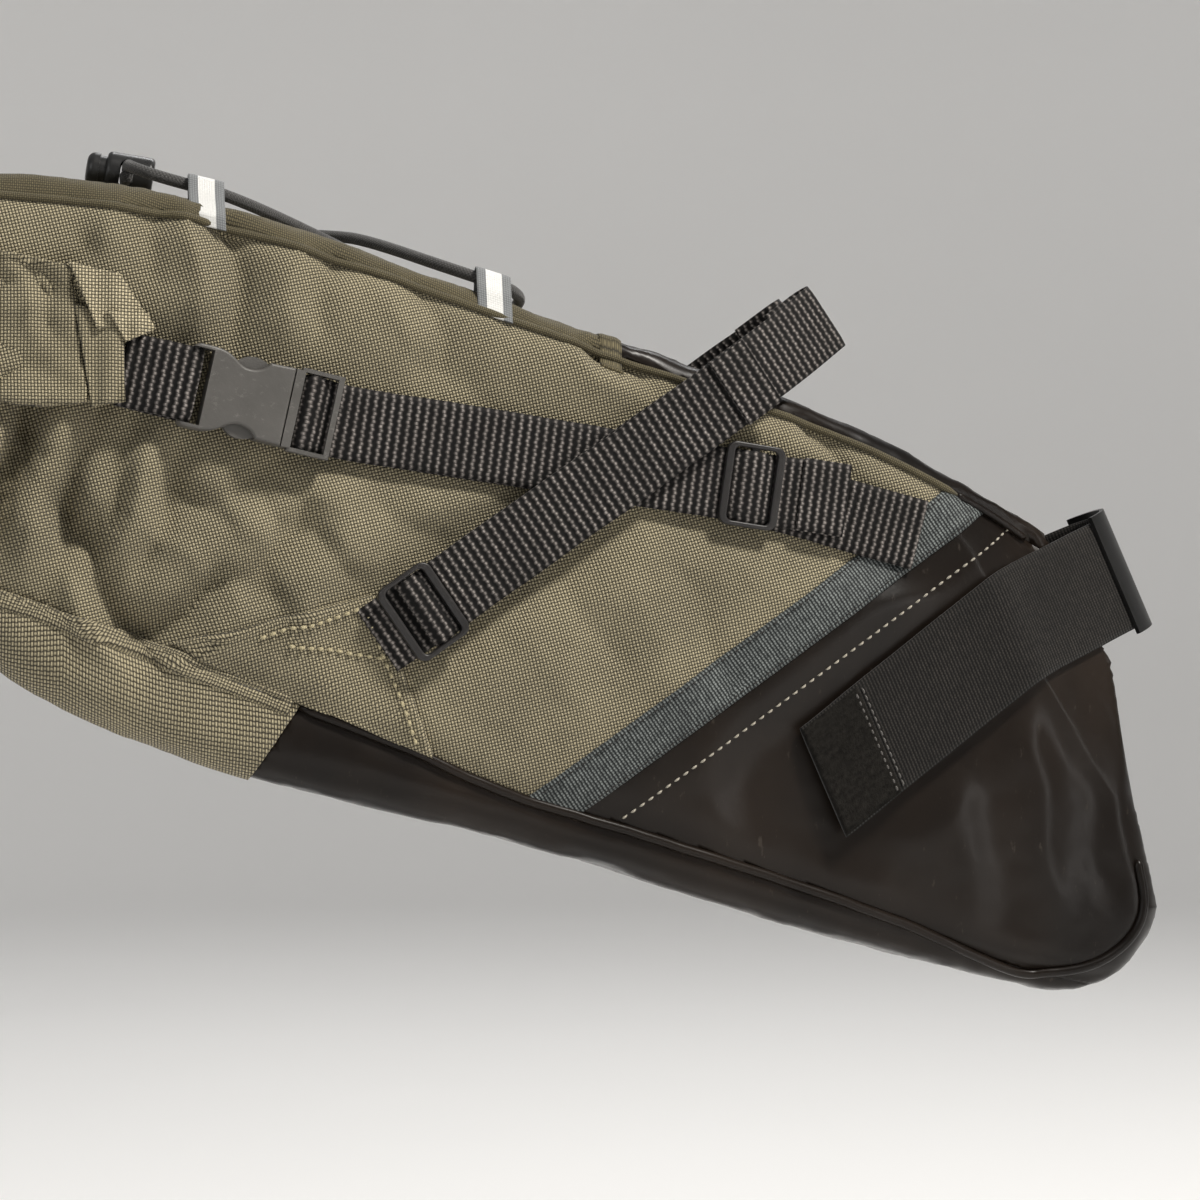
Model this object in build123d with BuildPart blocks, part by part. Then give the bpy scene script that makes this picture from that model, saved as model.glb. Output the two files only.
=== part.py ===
from build123d import *
import os
from math import cos, sin, tan, radians

# Roll-top seat pack for a bicycle. Row frame: +X towards the front of the bicycle, +Z up,
# origin on the seatpost's axis at the middle of the strap that clamps it.
# The right-hand pieces (towards -Y) are drawn, and mirrored for the left.

os.makedirs("parts", exist_ok=True)

# ---- driving dimensions, mm and degrees ----
post_radius = 15.8
post_lean = 23.5
rail_loop_radius = 3.6

wall = 2.0
gap = 0.3
nose_half_width = 30.2
side_taper = 8.1
tail_x = -392
straight_side_end = -300
body_edge_radius = 13
reach = 120

webbing_width = 24
webbing = 1.4
layer_step = webbing + gap

post_strap_width = 40
post_strap = 2.4
grip_width = 44
grip = 1.6
channel_radius = post_radius + post_strap + 0.8
flank_angle = 27.4

cord_radius = 2.0
tab_bore = (6.4, 4.8)
tab_wall = 1.2

# ---- outlines in side view, as (x, z) ----
top_points = [(-16, 19), (-92, 58), (-208, 96), (-306, 126), (-382, 134)]
bottom_points = [(-364, -32), (-292, -62), (-208, -84), (-115, -113), (-24, -137)]
top_seam = [(-430, 125), (-382, 126), (-306, 118), (-208, 89), (-92, 51), (-16, 12), (60, -40)]
bottom_seam = [(-430, 16), (-372, -1), (-275, -38), (-207, -67), (-112, -98), (-29, -130)]
divide_top = (-38, 36)
divide_bottom = (-200, -79)
top_panel_front = -170
patch_front = -276

# ---- where the hardware lies on the right side, as (x, z, slope in degrees) ----
buckle_place = (-281, 58, -12.5)
glide_place = (-125, 34, -8.4)
anchor_place = (-62, 18, -15)
lock_place = (-237, -8, 34.7)


# ---- helpers ----
def half_width(x):
    """Half the bag's width where its sides run straight."""
    return nose_half_width - x * tan(radians(side_taper))


def side_plane(place, lift=0):
    """Plane on the right side at (x, z), its x turned up by slope, its z outwards by lift."""
    x, z, slope = place
    run = cos(radians(slope))
    wall_plane = Plane(
        origin=(x, -half_width(x), z),
        x_dir=(run * cos(radians(side_taper)), run * sin(radians(side_taper)), sin(radians(slope))),
        z_dir=(sin(radians(side_taper)), -cos(radians(side_taper)), 0),
    )
    return wall_plane.offset(lift)


def edge_on(plane):
    """The same place seen along a strap's width: x along the strap, y off the wall."""
    return Plane(origin=plane.origin, x_dir=plane.x_dir, z_dir=-plane.y_dir)


def side_prism(*corners):
    """A closed (x, z) outline carried right across the bag."""
    with BuildPart() as prism:
        with BuildSketch(Plane.XZ):
            with BuildLine():
                Polyline(*corners, close=True)
            make_face()
        extrude(amount=reach, both=True)
    return prism.part


def below_curve(points, floor=-200):
    """Everything under a smooth curve in side view, right across the bag."""
    with BuildPart() as prism:
        with BuildSketch(Plane.XZ):
            with BuildLine():
                edge = Spline(*points)
                Polyline(edge @ 1, ((edge @ 1).X, floor), ((edge @ 0).X, floor), edge @ 0)
            make_face()
        extrude(amount=reach, both=True)
    return prism.part


def strip(points, width):
    """A strip of even width along points in side view, carried right across the bag."""
    with BuildPart() as band:
        with BuildSketch(Plane.XZ):
            with BuildLine():
                Polyline(*points)
            trace(line_width=width)
        extrude(amount=reach, both=True)
    return band.part


def right_half():
    """Everything to the right of the bag's middle plane."""
    with BuildPart(Plane.XZ) as half:
        Box(1200, 800, reach, align=(Align.CENTER, Align.CENTER, Align.MIN))
    return half.part


def middle_slab(width):
    """Everything within half of width of the bag's middle plane."""
    with BuildPart() as slab:
        Box(1200, width, 800)
    return slab.part


def keep(solid, *limits):
    """The part of a solid that lies in every limit."""
    with BuildPart() as kept:
        add(solid)
        for limit in limits:
            add(limit, mode=Mode.INTERSECT)
    return kept.part


def cut(solid, *tools):
    """A solid with tools taken out of it."""
    with BuildPart() as rest:
        add(solid)
        for tool in tools:
            add(tool, mode=Mode.SUBTRACT)
    return rest.part


def block(plane, centre, size, low, high):
    """A straight block on a plane, from low to high off it."""
    with BuildPart() as piece:
        with BuildSketch(plane.offset(low)):
            with Locations(centre):
                Rectangle(*size)
        extrude(amount=high - low)
    return piece.part


def write(part, label):
    """Name a finished piece and write it."""
    part.label = label
    export_step(part, f"parts/{label}.step")


def write_pair(part, label):
    """Write a right-hand piece and its mirror image."""
    write(part, f"{label}_right")
    write(mirror(part, about=Plane.XZ), f"{label}_left")


# ---- the stuffed bag's form, drawn in (or let out) by an inset ----
def body_solid(inset):
    side_start = (60, inset - half_width(60))
    side_end = (straight_side_end, inset - half_width(straight_side_end))
    with BuildPart() as form:
        with BuildSketch(Plane.XZ):
            with BuildLine():
                top = Spline(*[(x, z - inset) for x, z in top_points])
                back = Line(top @ 1, (tail_x + inset, 120 - inset / 2))
                mouth = Line(back @ 1, (tail_x + inset, 60))
                ThreePointArc(mouth @ 1, (tail_x - 4 + inset, 12), (-364 + inset / 2, -32 + inset))
                under = Spline(*[(x + inset / 2 * (x < -360), z + inset) for x, z in bottom_points])
                corner = ThreePointArc(
                    under @ 1, (14 - 0.7 * inset, -131 + 0.7 * inset), (25 - inset, -111)
                )
                front = ThreePointArc(corner @ 1, (13 - inset, -57), (8 - inset, -23))
                Line(front @ 1, top @ 0)
            make_face()
        extrude(amount=reach, both=True)
        with BuildSketch(Plane.XY):
            with BuildLine():
                side = Line(side_start, side_end)
                bulge = TangentArc(side @ 1, (side @ 1) - (132, 9), tangent=side % 1)
                mirror(side, about=Plane.XZ)
                mirror(bulge, about=Plane.XZ)
                Line(bulge @ 1, ((bulge @ 1).X, -(bulge @ 1).Y))
                Line(side @ 0, ((side @ 0).X, -(side @ 0).Y))
            make_face()
        extrude(amount=2 * reach, both=True, mode=Mode.INTERSECT)
        seams = form.edges().filter_by(Axis.Z).filter_by_position(
            Axis.X, straight_side_end - 3, straight_side_end + 3
        )
        rims = form.edges().filter_by(lambda edge: abs(edge.center().Y) > 15) - seams
        long_rims = rims.filter_by(Axis.Y, reverse=True).sort_by(Axis.X)
        fillet(long_rims, radius=body_edge_radius - inset)
        add(post_channel(inset), mode=Mode.SUBTRACT)
        add(nose_flanks(inset), mode=Mode.SUBTRACT)
    return form.part


# ---- the seatpost's own frame: x off its front, y to the left, z up its axis ----
post_plane = Plane(
    origin=(0, 0, 0),
    x_dir=(cos(radians(post_lean)), 0, sin(radians(post_lean))),
    z_dir=(-sin(radians(post_lean)), 0, cos(radians(post_lean))),
)


def post_channel(inset):
    """The hollow that the seatpost presses into the nose."""
    with BuildPart(post_plane) as channel:
        Cylinder(radius=channel_radius + inset, height=500)
    return channel.part


def nose_flanks(inset):
    """What the clamped strap draws off the nose's two front corners."""
    clear = post_radius - gap - inset
    slope = tan(radians(flank_angle))
    start = clear / cos(radians(flank_angle))
    with BuildPart() as corners:
        with BuildSketch(post_plane):
            for side in (-1, 1):
                with BuildLine():
                    Polyline(
                        (60, side * (start - 60 * slope)),
                        (-60, side * (start + 60 * slope)),
                        (-60, side * reach),
                        (60, side * reach),
                        close=True,
                    )
                make_face()
        extrude(amount=70, both=True)
    return corners.part


# ---- sewn shell: panels cut from one skin along the seams ----
front_region = side_prism((-29, -200), (-29, -60), (-56, 60), (80, 60), (80, -200))
ahead_of_divide = side_prism(divide_top, divide_bottom, (100, -200), (100, 60))
under_top = below_curve(top_seam)
under_base = below_curve(bottom_seam)
behind_top_seam = side_prism((top_panel_front, -200), (top_panel_front, 200), (-460, 200), (-460, -200))
tail_end = side_prism((-380, -200), (-380, 200), (-460, 200), (-460, -200))
right = right_half()

outer = body_solid(0)
shell = cut(outer, body_solid(wall))
sides = cut(keep(shell, under_top), under_base, front_region)
right_side = cut(keep(sides, right), tail_end)
top = cut(shell, under_top)

write(keep(top, behind_top_seam), "top_panel")
write(cut(top, behind_top_seam), "top_front_panel")
write(cut(keep(shell, under_top, under_base), front_region), "bottom_panel")
write(keep(shell, under_top, front_region), "nose_front_panel")
write(keep(sides, tail_end), "tail_panel")
write_pair(cut(right_side, ahead_of_divide), "side_panel")
write_pair(keep(right_side, ahead_of_divide), "nose_side_panel")

# ---- trims sewn over the shell ----
trim_skin = cut(body_solid(-1.5), body_solid(-gap))
on_right = keep(trim_skin, right)

divide_strip = strip([divide_top, divide_bottom], 15)
piping_line = [
    (-274, -40), (-207, -69), (-112, -99.5), (-31, -132), (-16, -132), (7, -126), (20, -108), (14, -84),
]
piping_width = 3.6
piping_skin = cut(body_solid(-2.4), body_solid(-gap))
piping = cut(keep(piping_skin, right, strip(piping_line, piping_width)), middle_slab(32))
write_pair(piping, "seam_piping")
binding = cut(
    keep(on_right, divide_strip, under_top), under_base, strip(piping_line, piping_width + 2 * gap)
)
write_pair(binding, "grosgrain_binding")

gusset = side_prism((-316, -20), (-251, -4), (-233, -55), (-274, -36))
write_pair(cut(keep(on_right, gusset), under_base), "anchor_gusset")

patch_region = side_prism((patch_front, -200), (patch_front, 60), (-460, 60), (-460, -200))
write(keep(trim_skin, under_base, patch_region), "tail_bottom_patch")

seam_band = side_prism((-175, -200), (-168, -200), (-168, 200), (-175, 200))
write(cut(keep(trim_skin, seam_band), under_top), "top_seam_binding")

loop_patch = side_prism((-58, -26), (-38, -53), (-87, -88), (-107, -61))
write(keep(on_right, loop_patch), "hook_landing_patch")

# ---- stiffening inside the shell ----
tray_line = [(x, z - 9) for x, z in bottom_seam[1:]]
tray_ends = side_prism((-262, -200), (-262, 200), (-40, 200), (-40, -200))
tray = cut(body_solid(wall + gap), body_solid(wall + gap + 1.5))
write(keep(tray, below_curve(tray_line), tray_ends), "base_stiffener")

pad = cut(body_solid(wall + gap), body_solid(wall + gap + 4))
pad_ends = side_prism((-20, -112), (-20, -20), (60, -20), (60, -112))
write(keep(pad, pad_ends, middle_slab(34)), "nose_pad")


# ---- rolled mouth at the tail, and its ends folded forward along the sides ----
roll_height = 48
roll_depth = 25
roll_half_length = 72
roll_centre = (tail_x - gap - roll_depth / 2, 90)
slat = (1.8, 40, 128)

with BuildPart() as roll_closure:
    with BuildSketch(Plane.XZ):
        with Locations(roll_centre):
            RectangleRounded(roll_depth, roll_height, 11)
            Rectangle(3 * slat[0] + 3 * gap, slat[1] + 2 * gap, mode=Mode.SUBTRACT)
    extrude(amount=roll_half_length, both=True)
write(roll_closure.part, "roll_closure")

with BuildPart() as mouth_slats:
    with BuildSketch(Plane.XZ):
        with Locations((roll_centre[0] - 1.5, 90), (roll_centre[0] + 1.5, 90)):
            Rectangle(slat[0], slat[1])
    extrude(amount=slat[2] / 2, both=True)
write(mouth_slats.part, "mouth_stiffeners")

wing_outline = [(-401, 113), (-401, 66), (-366, 57), (-337, 59), (-337, 84), (-350, 103), (-376, 108)]
wing_skin = cut(body_solid(-8.3), body_solid(-gap))
wing_side = cut(keep(wing_skin, right, side_prism(*wing_outline)), middle_slab(2 * roll_half_length + 2 * gap))
with BuildPart() as roll_wing:
    add(wing_side)
    with BuildSketch(Plane.XZ.offset(roll_half_length + gap)):
        with Locations((roll_centre[0], 90)):
            RectangleRounded(roll_depth, roll_height - 2, 10)
    extrude(amount=17)
write_pair(roll_wing.part, "roll_wing")


# ---- side-release buckle; its plane has x along the strap and z off the bag, at the mouth ----
buckle_plane = side_plane(buckle_place, gap)
buckle_height = 8.2
plate = 1.8
prong_play = 0.4
prong_pivot = (-1.2, 7.2)
slot_bar = -32.8
male_bar = 7.0
male_bar_height = 4.0

with BuildPart() as female:
    with BuildSketch(buckle_plane):
        with BuildLine():
            heel = Line((-34.2, 0), (-34.2, 10.8))
            ear = ThreePointArc(heel @ 1, (-33.3, 12.9), (-31.2, 13.7))
            Line(ear @ 1, (-28, 13.7))
            waist = Spline((-28, 13.7), (-15.5, 9.2), (-8.5, 12.6), tangents=[(1, 0), (0.5, 1)])
            Line(waist @ 1, (0, 12.9))
            mirror(about=Plane.XZ)
            Line((0, 12.9), (0, -12.9))
        make_face()
    extrude(amount=buckle_height)
    outer_axis = Axis(buckle_plane.origin, buckle_plane.z_dir)
    fillet(female.faces().sort_by(outer_axis)[-1].edges(), radius=1.0)
    add(block(buckle_plane, (-29.3, 0), (4.6, 24.8), -1, 10), mode=Mode.SUBTRACT)
    for low, high in ((-1, 3.15), (5.25, 10)):
        add(block(buckle_plane, (-33, 0), (3.2, 24.8), low, high), mode=Mode.SUBTRACT)
    add(block(buckle_plane, (-11.4, 0), (23.4, 21.6), plate, buckle_height - plate), mode=Mode.SUBTRACT)
    add(block(buckle_plane, (-4, 0), (9.6, 23.2), plate, buckle_height - plate), mode=Mode.SUBTRACT)
    add(block(buckle_plane, (-14.8, 0), (12.6, 32), plate, buckle_height - plate), mode=Mode.SUBTRACT)
write_pair(female.part, "buckle_female")

with BuildPart() as male:
    add(block(buckle_plane, (1.8, 0), (3.0, 25.6), 0.6, 7.8))
    for side in (-1, 1):
        add(block(buckle_plane, (9.4, side * 13.1), (14.0, 1.3), 2.4, 7.2))
    add(block(buckle_plane, (2.9, 0), (0.8, 27.5), 2.4, 7.2))
    add(block(buckle_plane, (15.5, 0), (1.8, 27.5), 5.2, 7.2))
    add(block(buckle_plane, (male_bar, 0), (2.6, 27), male_bar_height - 1.4, male_bar_height + 1.4))
    add(block(buckle_plane, (-9.8, 0), (20.2, 3.4), 2.8, 5.4))
write_pair(male.part, "buckle_male")


def prong(side):
    """One spring prong of the male half, above (1) or below (-1) its tongue."""
    pivot = (prong_pivot[0], side * prong_pivot[1])
    with BuildPart() as arm:
        with BuildSketch(buckle_plane.offset(plate + prong_play)):
            with BuildLine():
                inner = Line((-1.2, 5.95), (-10, 6.0))
                heel = Spline(inner @ 1, (-16, 6.2), (-20.6, 9.0))
                pad_edge = Spline(heel @ 1, (-15, 13.3), (-9.6, 12.5))
                shoulder = Line(pad_edge @ 1, (-8.9, 12.1))
                back = Line(shoulder @ 1, (-9.0, 8.5))
                Line(back @ 1, (-1.2, 8.45))
                Line((-1.2, 8.45), (-1.2, 5.95))
                if side < 0:
                    mirror(about=Plane.XZ, mode=Mode.REPLACE)
            make_face()
            with Locations(pivot):
                Circle(1.25)
        extrude(amount=buckle_height - 2 * plate - 2 * prong_play)
    return arm.part


write_pair(prong(1), "prong_upper")
write_pair(prong(-1), "prong_lower")


# ---- three-bar sliders ----
def slider(plane, bar_height, bar):
    """A three-bar slider whose middle bar, bar thick, has its centre bar_height off the plane."""
    with BuildPart() as frame:
        with BuildSketch(plane.offset(bar_height + 0.5)):
            RectangleRounded(20.5, 28.2, 3.4)
            RectangleRounded(15.2, 25.0, 1.8, mode=Mode.SUBTRACT)
        extrude(amount=2.5)
        face_axis = Axis(plane.origin, plane.z_dir)
        fillet(frame.faces().sort_by(face_axis)[-1].edges(), radius=0.7)
        for side in (-1, 1):
            add(block(plane, (0, side * 13.2), (6, 1.5), bar_height - 1.3, bar_height + 0.6))
        add(block(plane, (0, 0), (bar, 26.8), bar_height - bar / 2, bar_height + bar / 2))
    return frame.part


glide_bar = 3.2
lock_bar = 6.7
glide_plane = side_plane(glide_place)
lock_plane = side_plane(lock_place)
write_pair(slider(glide_plane, glide_bar, 2.6), "strap_slider")
write_pair(slider(lock_plane, lock_bar, 1.7), "ladder_lock")


# ---- webbing ----
def along(place, distance, slope):
    """The place a distance further along a strap, turned to a new slope."""
    x, z, old_slope = place
    run = distance * cos(radians(old_slope)) * cos(radians(side_taper))
    return (x + run, z + distance * sin(radians(old_slope)), slope)


def loop_round(centre, radius):
    """The half turn that a strap's middle line makes round the back of a bar."""
    x, y = centre
    return ThreePointArc((x, y - radius), (x - radius, y), (x, y + radius))


lower = gap + webbing / 2
upper = lower + layer_step

with BuildPart() as tail_webbing:
    with BuildSketch(edge_on(side_plane(buckle_place))):
        with BuildLine():
            bend = ThreePointArc((slot_bar, 1.6), (slot_bar + 2.6, 4.2), (slot_bar, 6.8))
            Polyline((-54.5, 3.2), (-50, 3.0), (-40, 2.2), bend @ 0)
            Polyline(bend @ 1, (-40, 6.2), (-50, 4.8), (-54.5, 4.9))
        trace(line_width=webbing)
    extrude(amount=webbing_width / 2, both=True)
write_pair(tail_webbing.part, "tail_webbing")

strap_bend = 24
long_place = along(buckle_place, strap_bend, -8.1)
glide_reach = (glide_place[0] - long_place[0]) / cos(radians(8.1)) / cos(radians(side_taper))
with BuildPart() as strap:
    with BuildSketch(edge_on(side_plane(buckle_place))):
        with BuildLine():
            turn = loop_round((male_bar, male_bar_height + gap), 2.8)
            Polyline((strap_bend, lower), (13, lower), (9, 1.5), turn @ 0)
            Polyline(turn @ 1, (8.6, 6.8), (13.4, 3.3), (strap_bend, upper))
        trace(line_width=webbing)
    extrude(amount=webbing_width / 2, both=True)
    with BuildSketch(edge_on(side_plane(long_place))):
        with BuildLine():
            Line((-1, lower), (glide_reach, lower))
        trace(line_width=webbing)
        with BuildLine():
            over = glide_bar + 2.2
            Polyline(
                (-1, upper),
                (glide_reach - 7.5, upper),
                (glide_reach - 2.2, over),
                (glide_reach + 2.2, over),
                (glide_reach + 7.5, upper),
                (glide_reach + 34, upper),
            )
        trace(line_width=webbing)
    extrude(amount=webbing_width / 2, both=True)
    with BuildSketch(edge_on(side_plane((glide_place[0], glide_place[1], anchor_place[2])))):
        with BuildLine():
            Line((-2, lower), (66, lower))
        trace(line_width=webbing)
    extrude(amount=webbing_width / 2, both=True)
    add(divide_strip, mode=Mode.SUBTRACT)
    add(ahead_of_divide, mode=Mode.SUBTRACT)
write_pair(strap.part, "compression_strap")

rail_loop = (173.4, -16.8)
loop_turn = 26
loop_line = rail_loop_radius + webbing / 2
load_line = 4.5
tail_line = load_line + layer_step


def from_loop(forward, out):
    """A point near the rail loop, forward along the strap's last run and out across it."""
    c = cos(radians(loop_turn))
    s = sin(radians(loop_turn))
    return (rail_loop[0] + forward * c + out * s, rail_loop[1] - forward * s + out * c)


with BuildPart() as rail_strap:
    with BuildSketch(edge_on(lock_plane)):
        with BuildLine():
            turn = loop_round((0, lock_bar), lock_bar - load_line)
            Polyline(turn @ 1, (2.4, lock_bar + 2.1), (7.4, tail_line), (140, tail_line))
            ring = ThreePointArc(from_loop(0, loop_line), from_loop(loop_line, 0), from_loop(0, -loop_line))
            Polyline(turn @ 0, (130, load_line), from_loop(-18, loop_line), ring @ 0)
            Polyline(ring @ 1, from_loop(-20, -loop_line), (140, -8))
        trace(line_width=webbing)
    extrude(amount=webbing_width / 2, both=True)
    add(outer, mode=Mode.SUBTRACT)
write_pair(rail_strap.part, "rail_strap")

with BuildPart() as lock_tab:
    with BuildSketch(edge_on(lock_plane)):
        with BuildLine():
            Polyline((-17, 2.4), (4, 2.4))
        trace(line_width=webbing)
    extrude(amount=webbing_width / 2, both=True)
write_pair(lock_tab.part, "lock_tab")

# ---- clamp strap round the seatpost ----
strap_line = post_radius + post_strap / 2
contact = radians(90 - flank_angle)
leg_slope = tan(radians(flank_angle))
touch = (strap_line * cos(contact), strap_line * sin(contact))
leg_end = -27
wrap_end = -36


def leg(x):
    """Half the distance between the strap's legs, x ahead of the post's axis."""
    return touch[1] + (touch[0] - x) * leg_slope


with BuildPart() as clamp_strap:
    with BuildSketch(post_plane):
        with BuildLine():
            front = ThreePointArc((touch[0], touch[1]), (strap_line, 0), (touch[0], -touch[1]))
            Line(front @ 1, (leg_end, -leg(leg_end)))
            Polyline(front @ 0, (wrap_end, leg(wrap_end)), (-62, 41.2))
        trace(line_width=post_strap)
    extrude(amount=post_strap_width / 2, both=True)
write(clamp_strap.part, "seatpost_strap")

with BuildPart() as grip_pad:
    with BuildSketch(post_plane):
        pad_radius = post_radius + post_strap + grip / 2
        with BuildLine():
            CenterArc((0, 0), pad_radius, -56, 112)
        trace(line_width=grip)
    extrude(amount=grip_width / 2, both=True)
write(grip_pad.part, "grip_pad")

flap_lift = 1.8
with BuildPart() as strap_flap:
    with BuildSketch(side_plane((0, 0, 0), flap_lift)):
        with BuildLine():
            c = cos(radians(side_taper))
            Polyline(
                (-35.0 / c, 7.5), (-19.2 / c, -28.8), (-89.2 / c, -83.2), (-112.8 / c, -50.8), close=True
            )
        make_face()
    extrude(amount=post_strap)
write(strap_flap.part, "strap_flap")

# ---- shock cord laced through tabs on top, with its cord lock ----
tab_places = [(-211, 48, 101.4, 17), (-306, 56, 130.4, 13)]
tab_half = 6

lock_origin = (-331, -20, 138.6)
lock_axis = (-cos(radians(9)), 0, sin(radians(9)))
toggle_plane = Plane(origin=lock_origin, x_dir=(0, 1, 0), z_dir=lock_axis)
toggle_radius = 7.0
toggle_half = 8
plunger_radius = 5.0
cord_step = 2.2
cord_level = 1.0
press_travel = 2

tabs = []
for x, y, z, slope in tab_places:
    fall = radians(slope)
    with BuildPart() as tab:
        with BuildSketch(Plane(origin=(x, -y, z), x_dir=(0, 1, 0), z_dir=(cos(fall), 0, -sin(fall)))):
            RectangleRounded(tab_bore[0] + 2 * tab_wall, tab_bore[1] + 2 * tab_wall, 2.0)
            RectangleRounded(tab_bore[0], tab_bore[1], 1.2, mode=Mode.SUBTRACT)
        extrude(amount=tab_half, both=True)
    tabs.append(tab.part)
with BuildPart() as cord_tabs:
    add(tabs)
write_pair(cord_tabs.part, "cord_tabs")

cord_route = [
    (-331.7, 10, 140.9), (-331.7, -34, 140.9), (-330, -49, 138), (-319, -56, 133.6),
    (-293.5, -56, 127.3), (-223.5, 48, 105.4), (-198.5, 48, 97.6), (-198.5, -48, 97.6),
    (-223.5, -48, 105.4), (-250, -6.6, 119.0), (-261, 8, 122.0), (-293.5, 56, 127.3),
    (-319, 56, 133.6), (-330, 49, 137), (-332.5, 34, 136.5), (-332.2, -36, 136.5),
]


def bend_radii(route):
    """The largest arc that each corner's two runs leave room for."""
    radii = []
    for before, here, after in zip(route, route[1:], route[2:]):
        run_in = Vector(here) - Vector(before)
        run_out = Vector(after) - Vector(here)
        half_turn = radians(run_in.get_angle(run_out) / 2)
        radii.append(0.45 * min(run_in.length, run_out.length) / tan(half_turn))
    return radii


cord_radii = bend_radii(cord_route)
print("cord bend radii", [round(radius, 1) for radius in cord_radii])
with BuildPart() as shock_cord:
    with BuildLine() as cord_line:
        FilletPolyline(*cord_route, radius=cord_radii)
    cord_path = cord_line.wires()[0]
    with BuildSketch(Plane(origin=cord_path @ 0, z_dir=cord_path % 0)):
        Circle(cord_radius)
    sweep()
cord_section = 3.14159 * cord_radius**2
print("cord length", round(cord_path.length), "filled", shock_cord.part.volume / (cord_section * cord_path.length))
write(shock_cord.part, "shock_cord")

with BuildPart() as toggle_body:
    with BuildSketch(toggle_plane.offset(-toggle_half)):
        Circle(toggle_radius)
    extrude(amount=2 * toggle_half)
    fillet(toggle_body.edges(), radius=1.6)
    with BuildSketch(toggle_plane.offset(1.2 - toggle_half)):
        Circle(plunger_radius + 0.2)
    extrude(amount=2 * toggle_half, mode=Mode.SUBTRACT)
    with BuildSketch(Plane(origin=lock_origin, x_dir=lock_axis, z_dir=(0, 1, 0))):
        with Locations((cord_level, 0)):
            RectangleRounded(4.8, 9.2, 2.2)
    extrude(amount=20, both=True, mode=Mode.SUBTRACT)
write(toggle_body.part, "cord_lock_body")

with BuildPart() as toggle_plunger:
    with BuildSketch(toggle_plane.offset(-3)):
        Circle(plunger_radius)
    extrude(amount=toggle_half + press_travel + 3.3)
    with BuildSketch(toggle_plane.offset(toggle_half + press_travel + 0.3)):
        Circle(5.8)
    extrude(amount=4.2)
    fillet(toggle_plunger.edges().group_by(Axis(lock_origin, lock_axis))[-1], radius=2.6)
    with BuildSketch(Plane(origin=lock_origin, x_dir=lock_axis, z_dir=(0, 1, 0))):
        with Locations((cord_level + press_travel / 2, 0)):
            RectangleRounded(4.8 + press_travel, 8.9, 2.1)
    extrude(amount=20, both=True, mode=Mode.SUBTRACT)
write(toggle_plunger.part, "cord_lock_plunger")

spring_height = 2.9
spring_turns = 2
spring_wire = 0.35
spring_seat = toggle_plane.offset(1.2 + spring_wire + 0.1 - toggle_half).origin
with BuildPart() as toggle_spring:
    with BuildLine():
        coil = Helix(spring_height / spring_turns, spring_height, 3.4, center=spring_seat, direction=lock_axis)
    with BuildSketch(Plane(origin=coil @ 0, z_dir=coil % 0)):
        Circle(spring_wire)
    sweep()
write(toggle_spring.part, "cord_lock_spring")
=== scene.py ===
import math

import bmesh
import bpy
import numpy as np
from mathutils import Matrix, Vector, noise
from mathutils.bvhtree import BVHTree


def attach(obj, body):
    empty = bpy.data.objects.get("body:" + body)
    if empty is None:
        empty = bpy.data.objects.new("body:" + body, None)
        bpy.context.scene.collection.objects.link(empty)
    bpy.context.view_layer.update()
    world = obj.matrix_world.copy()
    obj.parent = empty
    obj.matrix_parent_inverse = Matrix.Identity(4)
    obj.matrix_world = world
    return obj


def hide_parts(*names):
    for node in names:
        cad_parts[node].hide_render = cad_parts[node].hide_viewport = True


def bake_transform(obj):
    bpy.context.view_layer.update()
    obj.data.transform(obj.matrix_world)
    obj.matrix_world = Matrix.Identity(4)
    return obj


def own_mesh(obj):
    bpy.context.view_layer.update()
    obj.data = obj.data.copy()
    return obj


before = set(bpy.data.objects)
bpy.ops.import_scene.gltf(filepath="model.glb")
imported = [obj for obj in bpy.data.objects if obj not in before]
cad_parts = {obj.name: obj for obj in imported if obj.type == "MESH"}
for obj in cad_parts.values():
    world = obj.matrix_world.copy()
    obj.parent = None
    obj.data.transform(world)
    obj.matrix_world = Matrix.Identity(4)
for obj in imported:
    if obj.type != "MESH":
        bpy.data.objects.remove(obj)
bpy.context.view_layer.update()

# ---- the frame's driving sizes, in metres and radians; the right side is towards -Y ----
# ---- seams and outlines are (x, z) in mm, and hardware places are (x, z, slope) in mm and degrees ----
MM = 0.001
TAPER = math.radians(8.1)
NOSE_HALF_WIDTH = 0.0302
POST_LEAN = math.radians(23.5)
FLANK = math.radians(27.4)
TOP_SEAM = [(-430, 125), (-382, 126), (-306, 118), (-208, 89), (-92, 51), (-16, 12), (60, -40)]
BOTTOM_SEAM = [(-430, 16), (-372, -1), (-275, -38), (-207, -67), (-112, -98), (-29, -130), (60, -150)]
DIVIDE = ((-38, 36), (-200, -79))
PATCH_FRONT = -0.276
TOP_PANEL_FRONT = -0.170
BUCKLE = (-281, 58, -12.5)
GLIDE = (-125, 34, -8.4)
ANCHOR = (-62, 18, -15)
LOCK = (-237, -8, 34.7)
SIDES = (("right", 1), ("left", -1))


# ======== small helpers ========
def smooth(low, high, value):
    """0 below low, 1 above high, an even S between."""
    t = np.clip((value - low) / (high - low), 0, 1)
    return t * t * (3 - 2 * t)


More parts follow.
